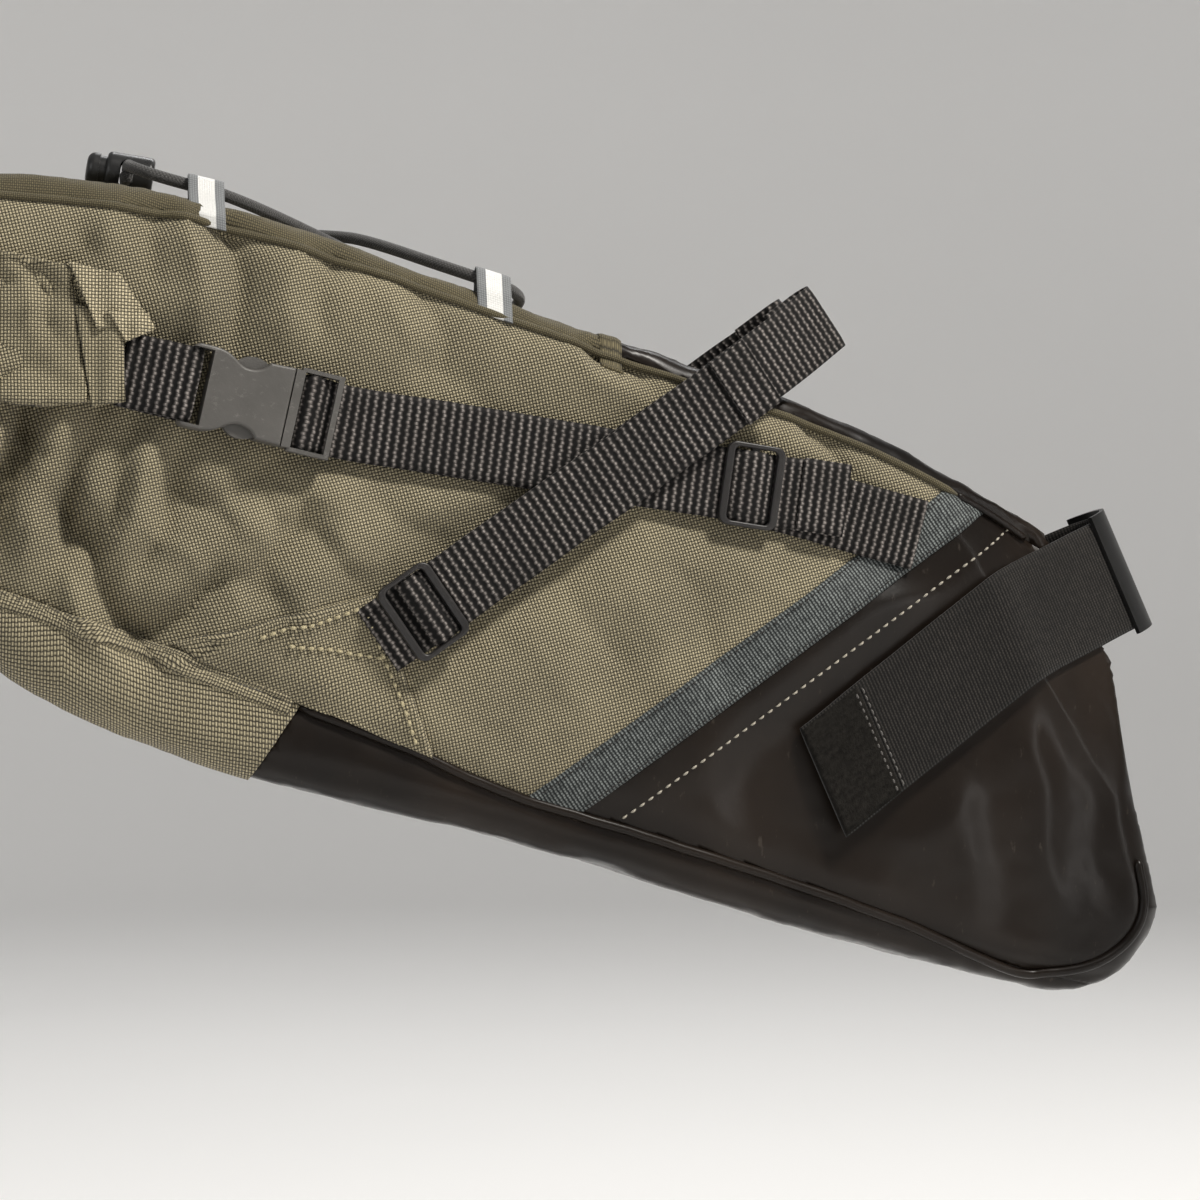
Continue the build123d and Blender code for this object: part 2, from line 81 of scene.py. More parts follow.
def curve_through(points, count):
    """Points in mm along a Catmull-Rom curve, count to each run, in metres."""
    p = np.array(points, float) * MM
    ends = np.vstack([2 * p[0] - p[1], p, 2 * p[-1] - p[-2]])
    out = []
    for i in range(len(p) - 1):
        a, b, c, d = ends[i : i + 4]
        for t in np.arange(count) / count:
            square, cube = 2 * a - 5 * b + 4 * c - d, 3 * b - a - 3 * c + d
            out.append(0.5 * (2 * b + (c - a) * t + square * t**2 + cube * t**3))
    return np.vstack([*out, p[-1]])


top_line = curve_through(TOP_SEAM, 20)
bottom_line = curve_through(BOTTOM_SEAM, 20)


def top_seam_z(x):
    return np.interp(x, top_line[:, 0], top_line[:, 1])


def bottom_seam_z(x):
    return np.interp(x, bottom_line[:, 0], bottom_line[:, 1])


def ahead_of_divide(x, z):
    """How far a side-view point is ahead of the line between olive cloth and vinyl, in metres."""
    (x1, z1), (x0, z0) = DIVIDE
    run, rise = (x1 - x0) * MM, (z1 - z0) * MM
    return ((x - x0 * MM) * rise - (z - z0 * MM) * run) / math.hypot(run, rise)


def wall(x, z, lift=0.0, hand=1):
    """The point on a flat side wall at (x, z), lift off it."""
    y = -(NOSE_HALF_WIDTH - x * math.tan(TAPER))
    p = Vector((x, y, z)) + lift * wall_normal()
    return Vector((p.x, hand * p.y, p.z))


def wall_normal(hand=1):
    return Vector((math.sin(TAPER), -math.cos(TAPER) * hand, 0))


def wall_axes(place):
    """Origin, direction along a strap and direction across it, for (x, z, slope) in mm and degrees."""
    x, z, slope = place[0] * MM, place[1] * MM, math.radians(place[2])
    along = Vector((math.cos(slope) * math.cos(TAPER), math.cos(slope) * math.sin(TAPER), math.sin(slope)))
    return wall(x, z), along, wall_normal().cross(along)


def flip(v, hand):
    return Vector((v.x, v.y * hand, v.z))


def new_mesh(name, verts, faces, cloth=None):
    """A mesh piece; cloth gives each vertex its place on the flat fabric, in metres."""
    mesh = bpy.data.meshes.new(name)
    mesh.from_pydata([tuple(v) for v in verts], [], [tuple(f) for f in faces])
    if cloth is not None:
        flat = mesh.attributes.new("cloth", "FLOAT_VECTOR", "POINT")
        flat.data.foreach_set("vector", np.array(cloth, np.float32).ravel())
    mesh.shade_smooth()
    mesh.update()
    piece = bpy.data.objects.new(name, mesh)
    bpy.context.scene.collection.objects.link(piece)
    return piece


def give_material(piece, material):
    piece.data.materials.clear()
    piece.data.materials.append(material)


def finish_piece(piece, material, body="bag", nodes=()):
    """Gives a piece its material, the body it rides and the CAD nodes it stands for."""
    give_material(piece, material)
    if body:
        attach(piece, body)
    if nodes:
        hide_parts(*nodes)
    return piece


def grid_faces(rows, columns, ring=False):
    """The quads of a grid of points; ring joins each row's end to its start."""
    faces = []
    for i in range(rows - 1):
        for j in range(columns if ring else columns - 1):
            k = (j + 1) % columns
            faces.append((i * columns + j, i * columns + k, (i + 1) * columns + k, (i + 1) * columns + j))
    return faces


# ======== materials ========
class Finish:
    """One procedural material being made, with the few kinds of node that all of them are built from."""

    def __init__(self, name, **settings):
        self.material = bpy.data.materials.new(name)
        self.material.use_nodes = True
        self.tree = self.material.node_tree
        self.shader = next(n for n in self.tree.nodes if n.type == "BSDF_PRINCIPLED")
        for socket, value in settings.items():
            self.shader.inputs[socket.replace("_", " ")].default_value = value

    def node(self, kind, settings, inputs):
        """A node with its own settings; each input is a value or another node's output."""
        node = self.tree.nodes.new(f"ShaderNode{kind}")
        for key, value in settings.items():
            setattr(node, key, value)
        for key, value in inputs.items():
            if isinstance(value, bpy.types.NodeSocket):
                self.tree.links.new(value, node.inputs[key])
            elif value is not None:
                node.inputs[key].default_value = value
        return node

    def calc(self, operation, *values):
        return self.node("Math", {"operation": operation}, dict(enumerate(values))).outputs[0]

    def times(self, a, b):
        return self.calc("MULTIPLY", a, b)

    def gain(self, value, factor, offset):
        """value * factor + offset"""
        return self.calc("MULTIPLY_ADD", value, factor, offset)

    def within(self, value, low, high):
        return self.calc("MINIMUM", self.calc("MAXIMUM", value, low), high)

    def blend(self, factor, a, b):
        """From colour a at 0 to colour b at 1."""
        a, b = ((*c, 1) if isinstance(c, tuple) else c for c in (a, b))
        return self.node("Mix", {"data_type": "RGBA"}, {0: factor, 6: a, 7: b}).outputs[2]

    def noise(self, where, scale, detail=3.0, rough=0.55):
        inputs = {"Vector": where, "Scale": scale, "Detail": detail, "Roughness": rough}
        return self.node("TexNoise", {}, inputs).outputs[0]

    def stretch(self, where, factors):
        return self.node("VectorMath", {"operation": "MULTIPLY"}, {0: where, 1: factors}).outputs[0]

    def cloth_place(self):
        return self.node("Attribute", {"attribute_name": "cloth"}, {}).outputs["Vector"]

    def object_place(self):
        return self.node("TexCoord", {}, {}).outputs["Object"]

    def split(self, where):
        """A place's first two coordinates: along and across the flat cloth."""
        return self.node("SeparateXYZ", {}, {0: where}).outputs[:2]

    def arch(self, value):
        """A thread's round back over one pitch, from just above 0 at its edges to 1 in its middle."""
        centred = self.gain(self.calc("FRACT", value), 2, -1)
        return self.calc("SUBTRACT", 1.001, self.times(centred, centred))

    def weave(self, where, pitch):
        """Height and top-thread mask of a plain weave with that thread pitch, in metres."""
        u, v = (self.calc("DIVIDE", axis, pitch) for axis in self.split(where))
        cell = self.calc("ADD", self.calc("FLOOR", u), self.calc("FLOOR", v))
        parity = self.calc("FLOORED_MODULO", cell, 2)
        over_u, over_v = self.arch(u), self.arch(v)
        warp = self.times(over_u, self.calc("POWER", over_v, 0.35))
        weft = self.times(over_v, self.calc("POWER", over_u, 0.35))
        lift = self.calc("ADD", self.times(warp, self.calc("SUBTRACT", 1, parity)), self.times(weft, parity))
        return lift, parity

    def bump(self, height, strength, distance, normal=None):
        inputs = {"Strength": strength, "Distance": distance, "Height": height, "Normal": normal}
        return self.node("Bump", {}, inputs).outputs[0]

    def done(self, colour, roughness=None, normal=None):
        for socket, output in (("Base Color", colour), ("Roughness", roughness), ("Normal", normal)):
            if output is not None:
                self.tree.links.new(output, self.shader.inputs[socket])
        return self.material


def woven(name, dark, light, pitch, bump, dust):
    """Coarse plain-weave nylon: thread crowns painted pale as a highlight over gaps painted dark as shade,
    uneven, dusty on the high places.
    """
    m = Finish(name, Sheen_Weight=0.08, Sheen_Roughness=0.45, Specular_IOR_Level=0.3)
    where = m.cloth_place()
    drift = m.node("TexNoise", {}, {"Vector": where, "Scale": 22}).outputs["Color"]
    swing = (pitch * 0.9, pitch * 0.9, 0)
    wobble = m.node("VectorMath", {"operation": "MULTIPLY_ADD"}, {0: drift, 1: swing, 2: where}).outputs[0]
    height, parity = m.weave(wobble, pitch)
    uneven = m.noise(m.stretch(where, (1, 4, 1)), 260, 2)
    broad = m.noise(where, 20, 4)
    # the weave's height sets the colour: painted highlight on the thread crowns, painted shade in the gaps
    # between them
    tone = m.times(m.calc("POWER", height, 1.7), m.gain(uneven, 0.6, 0.85))
    tone = m.times(tone, m.gain(parity, -0.3, 1))
    tone = m.times(tone, m.gain(broad, 0.7, 0.65))
    worn = m.within(m.gain(broad, 2.6, -1.1), 0, 1)
    worn = m.times(m.times(worn, height), dust)
    colour = m.blend(worn, m.blend(tone, dark, light), tuple(min(1, c * 1.35) for c in light))
    rumpled = m.bump(m.noise(where, 60, 4), 0.30, 0.0025)
    return m.done(colour, m.gain(uneven, 0.2, 0.68), m.bump(height, bump, pitch * 0.5, rumpled))


def vinyl(name):
    """Coated tarpaulin: nearly black, with broad brown patches painted in as a reflection of the brown
    ground, smooth, with a few dull scuffs.
    """
    m = Finish(name, IOR=1.45, Specular_IOR_Level=0.22)
    where = m.object_place()
    fine = m.noise(where, 700, 3)
    broad = m.noise(m.stretch(where, (1.0, 1.0, 0.5)), 16, 3, 0.45)
    scuff = m.noise(m.stretch(where, (3, 1, 1)), 120, 5, 0.7)
    marks = m.within(m.gain(scuff, 6, -3.9), 0, 0.25)
    # broad brown patches, laid out by noise: a painted reflection of the ground
    colour = m.blend(m.gain(broad, 2.2, -0.6), (0.0020, 0.0016, 0.0014), (0.020, 0.0140, 0.0100))
    colour = m.blend(marks, colour, (0.085, 0.070, 0.056))
    roughness = m.calc("ADD", m.gain(fine, 0.08, 0.27), m.times(marks, 0.5))
    return m.done(colour, roughness, m.bump(fine, 0.10, 0.00025, m.bump(broad, 0.25, 0.004)))


def webbed(name, dark, light, column, dash, bump, gain, sheen, zigzag, sharp):
    """Narrow tape: weft dashes in zigzag columns across it, their crowns painted pale as a highlight over a
    nearly black warp, darker between them as painted shade.
    """
    m = Finish(name, Sheen_Weight=sheen, Sheen_Roughness=0.5, Specular_IOR_Level=0.15)
    where = m.cloth_place()
    u, v = m.split(where)
    sway = m.calc("SINE", m.times(v, math.pi / dash))
    turns = m.gain(sway, zigzag, m.calc("DIVIDE", u, column))
    ridge = m.gain(m.calc("SINE", m.times(turns, 2 * math.pi)), 0.5, 0.5)
    bead = m.gain(m.calc("POWER", m.calc("ABSOLUTE", sway), 0.7), 0.85, 0.15)
    height = m.times(m.calc("POWER", ridge, sharp), bead)
    uneven = m.noise(where, 420, 3, 0.7)
    # the rib height sets the colour: painted highlight on the crowns of the dashes, painted shade between
    # them
    tone = m.times(height, m.gain(uneven, 2.4, -0.35))
    tone = m.times(tone, m.gain(m.noise(where, 45, 3), 1.1 * gain, 0.45 * gain))
    colour = m.blend(m.within(tone, 0, 1), dark, light)
    return m.done(colour, m.gain(uneven, 0.2, 0.6), m.bump(height, bump, column * 0.14))


def moulded(name, base, worn, rough, grain=900, bump=0.12):
    """Injection-moulded plastic with a fine spark-eroded grain and handling marks."""
    m = Finish(name, IOR=1.48, Specular_IOR_Level=0.4)
    where = m.object_place()
    broad = m.noise(where, 60, 4)
    scratch = m.noise(m.stretch(where, (1, 5, 2)), 180, 6, 0.8)
    colour = m.blend(m.within(m.gain(scratch, 4, -2.3), 0, 0.5), base, worn)
    colour = m.blend(m.times(broad, 0.35), colour, worn)
    normal = m.bump(m.noise(where, grain, 3), bump, 0.0003, m.bump(scratch, 0.05, 0.0004))
    return m.done(colour, m.gain(broad, 0.22, rough - 0.1), normal)


def napped(name, dark, light, scale):
    """Hook tape: a dull, short, random pile."""
    m = Finish(name, Sheen_Weight=0.01, Sheen_Roughness=0.6, Specular_IOR_Level=0.04)
    where = m.cloth_place()
    pile = m.noise(where, scale, 4, 0.7)
    combed = m.noise(m.stretch(where, (1, 4, 1)), scale / 3, 3)
    broad = m.noise(where, 40, 3)
    tone = m.times(pile, m.gain(combed, 1.3, m.times(broad, 0.5)))
    normal = m.bump(pile, 1.0, 0.0008, m.bump(combed, 0.3, 0.0012))
    return m.done(m.blend(tone, dark, light), m.gain(pile, 0.15, 0.8), normal)


def reflective(name):
    """Grey tape with a silver glass-bead stripe down its middle."""
    m = Finish(name)
    where = m.cloth_place()
    middle = m.calc("LESS_THAN", m.calc("ABSOLUTE", m.split(where)[1]), STRIPE_HALF)
    threads, _ = m.weave(where, 0.0008)
    cloth = m.blend(threads, (0.10, 0.105, 0.11), (0.22, 0.23, 0.235))
    silver = m.blend(m.noise(where, 1400, 2), (0.52, 0.52, 0.51), (0.72, 0.72, 0.70))
    return m.done(m.blend(middle, cloth, silver), m.gain(middle, -0.35, 0.75), m.bump(threads, 0.3, 0.0003))


def braided(name):
    """Shock cord's braided cover."""
    m = Finish(name, Sheen_Weight=0.2)
    where = m.cloth_place()
    turn = {"Vector": where, "Axis": (0, 0, 1), "Angle": math.radians(45)}
    threads, _ = m.weave(m.node("VectorRotate", {}, turn).outputs[0], 0.0009)
    uneven = m.noise(where, 700, 2)
    colour = m.blend(m.times(threads, uneven), (0.012, 0.012, 0.012), (0.11, 0.105, 0.10))
    return m.done(colour, m.gain(uneven, 0.2, 0.6), m.bump(threads, 0.6, 0.0003))


def steel(name):
    """Drawn spring wire."""
    m = Finish(name, Metallic=1.0)
    drawn = m.noise(m.stretch(m.object_place(), (1, 1, 6)), 800, 3)
    colour = m.blend(drawn, (0.36, 0.36, 0.37), (0.62, 0.62, 0.61))
    return m.done(colour, m.gain(drawn, 0.2, 0.28), m.bump(drawn, 0.1, 0.0001))


RIB = 0.0029
CORDURA_PITCH = 0.00105
THREAD_PITCH = 0.0005
STRIPE_HALF = 0.0028
NARROW = {"column": 0.00125, "dash": 0.0009, "sharp": 1.2}
OLIVE = woven("olive_cordura", (0.016, 0.013, 0.007), (0.43, 0.375, 0.245), CORDURA_PITCH, 0.9, 0.25)
OLIVE_FINE = woven("olive_smooth", (0.020, 0.017, 0.009), (0.150, 0.126, 0.070), 0.0007, 0.4, 0.15)
OLIVE_PALE = woven("olive_cordura_turned", (0.030, 0.025, 0.014), (0.62, 0.54, 0.36), CORDURA_PITCH, 0.9, 0.3)
VINYL = vinyl("black_vinyl")
WEBBING = webbed("webbing", (0.0030, 0.0026, 0.0025), (0.31, 0.28, 0.26), column=RIB, dash=0.0013,
                 bump=1.0, gain=0.8, sheen=0.04, zigzag=0.07, sharp=3.2)
GROSGRAIN = webbed("grosgrain", (0.008, 0.010, 0.011), (0.215, 0.235, 0.228),
                   bump=0.9, gain=1.0, sheen=0.08, zigzag=0.05, **NARROW)
STRAP = webbed("strap_elastic", (0.0016, 0.0014, 0.0012), (0.034, 0.030, 0.026),
               bump=0.8, gain=0.9, sheen=0.10, zigzag=0.04, **NARROW)
HOOK = napped("hook_tape", (0.0006, 0.0005, 0.0005), (0.026, 0.024, 0.021), 520)
REFLECTIVE = reflective("reflective_tape")
BRAID = braided("shock_cord")
STEEL = steel("spring_steel")
PLASTIC = moulded("buckle_plastic", (0.010, 0.0092, 0.0092), (0.060, 0.055, 0.053), 0.36)
# the buckle's pale grey is a painted reflection of the sun, a lit copy of the darker buckle plastic; its
# scratches and handling marks are real wear
BUCKLE_PAINTED_SUNLIT = moulded("buckle_plastic_painted_sunlit", (0.060, 0.057, 0.053), (0.22, 0.21, 0.195), 0.46, 700, 0.2)
TOGGLE = moulded("toggle_plastic", (0.014, 0.014, 0.014), (0.06, 0.06, 0.06), 0.3, 700, 0.06)
RUBBER = moulded("rubber_pad", (0.005, 0.005, 0.005), (0.018, 0.017, 0.016), 0.38, 300, 0.1)
STIFFENER = moulded("stiffener", (0.03, 0.03, 0.03), (0.07, 0.07, 0.07), 0.5, 500, 0.1)
FOAM = moulded("foam", (0.04, 0.04, 0.042), (0.09, 0.09, 0.09), 0.85, 1500, 0.5)
THREAD_PALE, THREAD_TAN, THREAD_GREY, THREAD_DARK = (
    woven(name, dark, light, THREAD_PITCH, 0.5, 0.0) for name, dark, light in (
        ("thread_pale", (0.22, 0.20, 0.16), (0.62, 0.58, 0.48)),
        ("thread_tan", (0.30, 0.26, 0.15), (0.66, 0.58, 0.38)),
        ("thread_grey", (0.05, 0.048, 0.045), (0.16, 0.15, 0.14)),
        ("thread_dark", (0.008, 0.008, 0.008), (0.05, 0.048, 0.045)),
    ))


# ======== camera ========
camera = bpy.data.objects.new("camera", bpy.data.cameras.new("camera"))
bpy.context.scene.collection.objects.link(camera)
CAMERA_AZIMUTH = math.radians(-7)
CAMERA_DISTANCE = 1.28
camera_target = Vector((-0.169, 0, -0.0042))
towards_camera = Vector((math.sin(CAMERA_AZIMUTH), -math.cos(CAMERA_AZIMUTH), 0))
camera.location = camera_target + CAMERA_DISTANCE * towards_camera
camera.rotation_mode = "QUATERNION"
camera.rotation_quaternion = (camera_target - camera.location).to_track_quat("-Z", "Y")
camera.data.sensor_width = 36
camera.data.lens = 110.6
bpy.context.scene.camera = camera


# ======== shock cord ========
CORD_ROUTE = [
    (-331.7, 10, 140.9), (-331.7, -34, 140.9), (-330, -49, 138), (-319, -56, 133.6),
    (-293.5, -56, 127.3), (-223.5, 48, 105.4), (-198.5, 48, 97.6), (-198.5, -48, 97.6),
    (-223.5, -48, 105.4), (-250, -6.6, 119.0), (-261, 8, 122.0), (-293.5, 56, 127.3),
    (-319, 56, 133.6), (-330, 49, 137), (-332.5, 34, 136.5), (-332.2, -36, 136.5),
]
CORD_RADIUS = 0.002


def cord_centreline(route):
    """Points read from the route's own smooth spline."""
    data = bpy.data.curves.new("cord_route", "CURVE")
    data.dimensions = "3D"
    spline = data.splines.new("NURBS")
    spline.points.add(len(route) - 1)
    for point, place in zip(spline.points, route):
        point.co = (*(c * MM for c in place), 1)
    spline.order_u = 3
    spline.use_endpoint_u = True
    spline.resolution_u = 16
    holder = bpy.data.objects.new("cord_route", data)
    line = bpy.data.meshes.new_from_object(holder)
    points = [v.co.copy() for v in line.vertices]
    bpy.data.objects.remove(holder)
    return points


def tube(name, points, radius, around, taper=0.0, hint=Vector((0, 0, 1))):
    """A closed round tube along points, its cloth coordinates along and around it."""
    verts, cloth, run = [], [], 0.0
    side = None
    for i, p in enumerate(points):
        ahead = points[min(i + 1, len(points) - 1)] - points[max(i - 1, 0)]
        ahead.normalize()
        side = ahead.cross(hint) if side is None else side - ahead * side.dot(ahead)
        side.normalize()
        up = ahead.cross(side)
        run += (p - points[i - 1]).length if i else 0
        size = radius * (1 - taper * (i in (0, len(points) - 1)))
        for j in range(around):
            a = 2 * math.pi * j / around
            verts.append(p + size * (math.cos(a) * side + math.sin(a) * up))
            cloth.append((run, radius * a, 0))
    faces = grid_faces(len(points), around, True)
    last = (len(points) - 1) * around
    faces.append(tuple(range(around - 1, -1, -1)))
    faces.append(tuple(range(last, last + around)))
    return new_mesh(name, verts, faces, cloth)


cord_points = cord_centreline(CORD_ROUTE)
shock_cord = tube("shock_cord_braid", cord_points, CORD_RADIUS, 14)
finish_piece(shock_cord, BRAID, "bag", ["shock_cord"])


# ======== the stuffed body: one skin read off the CAD panels, rumpled, then split along its seams ========
SHELL = ["top_panel", "top_front_panel", "bottom_panel", "nose_front_panel", "tail_panel",
         "side_panel_right", "side_panel_left", "nose_side_panel_right", "nose_side_panel_left"]


def tree_of(names):
    verts, faces = [], []
    for name in names:
        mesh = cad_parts[name].data
        base = len(verts)
        verts += [v.co.copy() for v in mesh.vertices]
        faces += [[base + i for i in p.vertices] for p in mesh.polygons]
    return BVHTree.FromPolygons(verts, faces)


shell_tree = tree_of(SHELL)
AROUND = 320
STATION_STEP = 0.0020
SKIN_TAIL = -0.352
SKIN_NOSE = -0.010
TAIL_FAN, NOSE_FAN = 34, 30


def skin_stations():
    """(x, lean) of each ring: upright along the body, fanning over each end."""
    count = round((SKIN_NOSE - SKIN_TAIL) / STATION_STEP)
    straight = [(SKIN_TAIL + (SKIN_NOSE - SKIN_TAIL) * i / count, 0.0) for i in range(count + 1)]
    tail = [(SKIN_TAIL, -math.radians(90) * i / TAIL_FAN) for i in range(TAIL_FAN - 1, 0, -1)]
    nose = [(SKIN_NOSE, math.radians(90) * i / NOSE_FAN) for i in range(1, NOSE_FAN)]
    return tail + straight + nose


def first_hit(target, direction, far=0.4):
    hit = shell_tree.ray_cast(target + direction * far, -direction, far * 1.2)
    return hit[0] if hit[0] is not None else target


def skin():
    """Rows of points round the body, each found from the direction it faces, with each point's run round its
    ring from the nearest crown or keel.
    """
    rows, around = [], []
    for x, lean in skin_stations():
        top = first_hit(Vector((x, 0, 0)), Vector((0, 0, 1))).z
        low = shell_tree.ray_cast(Vector((x, 0, -0.4)), Vector((0, 0, 1)))[0].z
        half = min(NOSE_HALF_WIDTH - x * math.tan(TAPER), (top - low) * 0.42)
        upper, lower = top - half, low + half
        straight = max(upper - lower, 0.001)
        perimeter = 2 * straight + 2 * math.pi * half
        crown, keel = straight + math.pi * half / 2, 2 * straight + 1.5 * math.pi * half
        row = []
        for j in range(AROUND):
            s = perimeter * j / AROUND
            if s < straight:
                target, a = Vector((x, 0, lower + s)), 0.0
            elif s < straight + math.pi * half:
                target, a = Vector((x, 0, upper)), (s - straight) / half
            elif s < 2 * straight + math.pi * half:
                target, a = Vector((x, 0, upper - (s - straight - math.pi * half))), math.pi
            else:
                target, a = Vector((x, 0, lower)), (s - 2 * straight) / half
            flat = Vector((0, -math.cos(a), math.sin(a)))
            row.append(first_hit(target, flat * math.cos(lean) + Vector((math.sin(lean), 0, 0))))
            around.append(s - (crown if abs(s - crown) < abs(s - keel) else keel))
        rows.append(row)
    return rows, around


skin_rows, skin_around = skin()
skin_points = np.array([tuple(p) for row in skin_rows for p in row])
skin_faces = grid_faces(len(skin_rows), AROUND, True)
skin_faces += [tuple(reversed(range(AROUND))), tuple(range(len(skin_points) - AROUND, len(skin_points)))]
skin_mesh = bpy.data.meshes.new("skin")
skin_mesh.from_pydata([tuple(p) for p in skin_points], [], skin_faces)
skin_mesh.update()
skin_normals = np.zeros(len(skin_points) * 3, np.float32)
skin_mesh.vertices.foreach_get("normal", skin_normals)
skin_normals = skin_normals.reshape(-1, 3).astype(float)
if np.sum(skin_normals[:, 1] * skin_points[:, 1]) < 0:
    skin_normals = -skin_normals
    skin_faces = [tuple(reversed(f)) for f in skin_faces]


def crease(x, z, start, end, width, depth, ridge=0.0, core=0.02):
    """A fold from start to end in side view, in mm: a valley with a ridge beside it; core rounds its line."""
    fade = 0.35
    ax, az = start[0] * MM, start[1] * MM
    dx, dz = end[0] * MM - ax, end[1] * MM - az
    length = math.hypot(dx, dz)
    t = ((x - ax) * dx + (z - az) * dz) / length**2
    off = ((x - ax) * dz - (z - az) * dx) / length
    off = off + 0.0016 * np.sin(t * 7 + ax * 90)
    ends = smooth(-fade, fade * 0.6, t) * (1 - smooth(1 - fade * 0.6, 1 + fade, t))
    w = width * MM
    valley = -depth * MM * np.exp(math.sqrt(core) - np.sqrt((off / w) ** 2 + core))
    bank = ridge * MM * np.exp(math.sqrt(core) - np.sqrt(((off - 2.0 * w) / (0.9 * w)) ** 2 + core))
    return (valley + bank) * ends


FOLDS = [
    ((-297, 120), (-295, 72), 7.0, 9.5, 6.0), ((-320, 122), (-327, 96), 7, 5.5, 3.0),
    ((-340, 60), (-354, 6), 6.0, 13.0, 6.0), ((-326, 56), (-338, 18), 5.5, 9.0, 4.5),
    ((-361, 61), (-374, 13), 5.5, 10.0, 5.0), ((-351, 25), (-327, -19), 5.5, 11.0, 6.0),
    ((-359, 63), (-377, 22), 4.5, 12.0, 5.0), ((-367, 64), (-380, 49), 4, 9.0, 4.0),
    ((-311, 48), (-326, 4), 6, 8.0, 5.5), ((-285, 27), (-283, -6), 6.5, 5.0, 3.0),
    ((-327, -17), (-299, 2), 6.5, 9.5, 5.0), ((-316, 34), (-296, 16), 8, 6.0, 4.0),
    ((-302, 30), (-262, 48), 7, 5.0, 3.5), ((-292, -6), (-276, 24), 8, 6.0, 3.5),
    ((-264, 110), (-271, 80), 6, 4.5, 2.8), ((-234, 100), (-227, 70), 6, 3.6, 2.2),
    ((-177, 84), (-157, 67), 5.0, 6.5, 3.5), ((-150, 67), (-128, 52), 5, 3.8, 2.2),
    ((-102, 56), (-90, 38), 4.5, 4.6, 2.4), ((-92, 46), (-68, 8), 4.5, 5.4, 2.8),
    ((-284, 38), (-256, 0), 9, 5.2, 3.4), ((-256, 32), (-222, 8), 9, 3.8, 2.4),
    ((-198, 20), (-168, -30), 10, 3.8, 2.2), ((-150, 8), (-132, -30), 9, 2.8, 1.8),
    ((-240, 76), (-212, 60), 7, 3.0, 1.8), ((-345, 112), (-352, 92), 5, 4.0, 2.0),
]
VINYL_FOLDS = [
    ((-40, -60), (-33, -116), 6, 1.8, 1.0), ((-16, -44), (-7, -100), 4.5, 2.2, 1.6),
    ((-3, -60), (4, -104), 4.5, 1.8, 1.2), ((-82, -88), (-60, -114), 8, 1.8, 0.8),
    ((-132, -62), (-104, -94), 8, 1.4, 0.6),
]


def strap_mask(x, z):
    """0 under the straps and hardware, which lie on the flat wall, and 1 well clear of them."""
    clear = np.ones_like(x)
    lines = [((-336, 70), (-281, 58)), ((-281, 58), (-125, 34)), ((-125, 34), (-60, 17)),
             ((-250, -17), (-130, 66)), ((-24, -8), (-104, -70))]
    widths = [12.5, 13, 13, 13, 21]
    for ((ax, az), (bx, bz)), half in zip(lines, widths):
        dx, dz = (bx - ax) * MM, (bz - az) * MM
        t = np.clip(((x - ax * MM) * dx + (z - az * MM) * dz) / (dx * dx + dz * dz), 0, 1)
        d = np.hypot(x - ax * MM - t * dx, z - az * MM - t * dz)
        clear = np.minimum(clear, smooth(half * MM - 0.002, half * MM + 0.018, d))
    return clear


def rumple(points, scale, seed):
    """Soft random height, about -1 to 1, at each point."""
    places = [Vector((x * scale, y * scale + seed, z * scale)) for x, y, z in points]
    return np.array([noise.fractal(place, 0.8, 2.1, 4) for place in places])


LEFT_SHIFT = 0.006
BULGE = 0.0060
SEAM_DIP, SEAM_SPREAD = 0.0020, 0.006
DIVIDE_DIP, DIVIDE_SPREAD = 0.0010, 0.012


def near_line(distance, spread):
    """1 on a line and 0 well away from it."""
    return np.exp(-((distance / spread) ** 2))


def side_relief(points):
    """How far the side cloth stands off the flat wall, for both sides."""
    x, z = points[:, 0], points[:, 2]
    xs = x + np.where(points[:, 1] > 0, LEFT_SHIFT, 0.0)
    top, low = top_seam_z(x), bottom_seam_z(x)
    inside = np.clip((z - low) / np.maximum(top - low, 0.001), 0, 1)
    pillow = np.sin(np.pi * inside) ** 0.7
    bulge = BULGE * pillow * smooth(0.02, -0.10, x)
    seam_pull = -SEAM_DIP * (near_line(z - top, SEAM_SPREAD) + near_line(z - low, SEAM_SPREAD))
    divide = ahead_of_divide(x, z)
    seam_pull -= DIVIDE_DIP * near_line(divide, DIVIDE_SPREAD)
    folds = sum(crease(xs, z, a, b, w, d, r) for a, b, w, d, r in FOLDS) * (divide < 0.004)
    folds = folds + sum(crease(xs, z, a, b, w, d, r, 2.5) for a, b, w, d, r in VINYL_FOLDS) * (divide > 0.002)
    clear = strap_mask(x, z)
    soft = 0.0008 * rumple(points, 26, 3.0) + 0.0004 * rumple(points, 70, 9.0)
    soft *= np.where(divide > 0, 0.45, 1.0)
    raised = bulge + np.maximum(folds, 0) + np.maximum(soft, 0)
    sunk = np.minimum(folds, 0) * (0.45 + 0.55 * clear) + np.minimum(soft, 0)
    return raised * clear + sunk + seam_pull - 0.0004


def end_relief(points):
    """The top, base, tail and nose: gentle rumples and a slight billow between the side seams."""
    x, y = points[:, 0], points[:, 1]
    half = NOSE_HALF_WIDTH - x * math.tan(TAPER)
    pillow = np.cos(np.clip(y / half, -1, 1) * math.pi / 2)
    soft = 0.0010 * rumple(points, 30, 5.0) + 0.0005 * rumple(points, 80, 1.0)
    return np.minimum(soft, 0.0004) + 0.0010 * pillow * (points[:, 2] < 0) - 0.0006


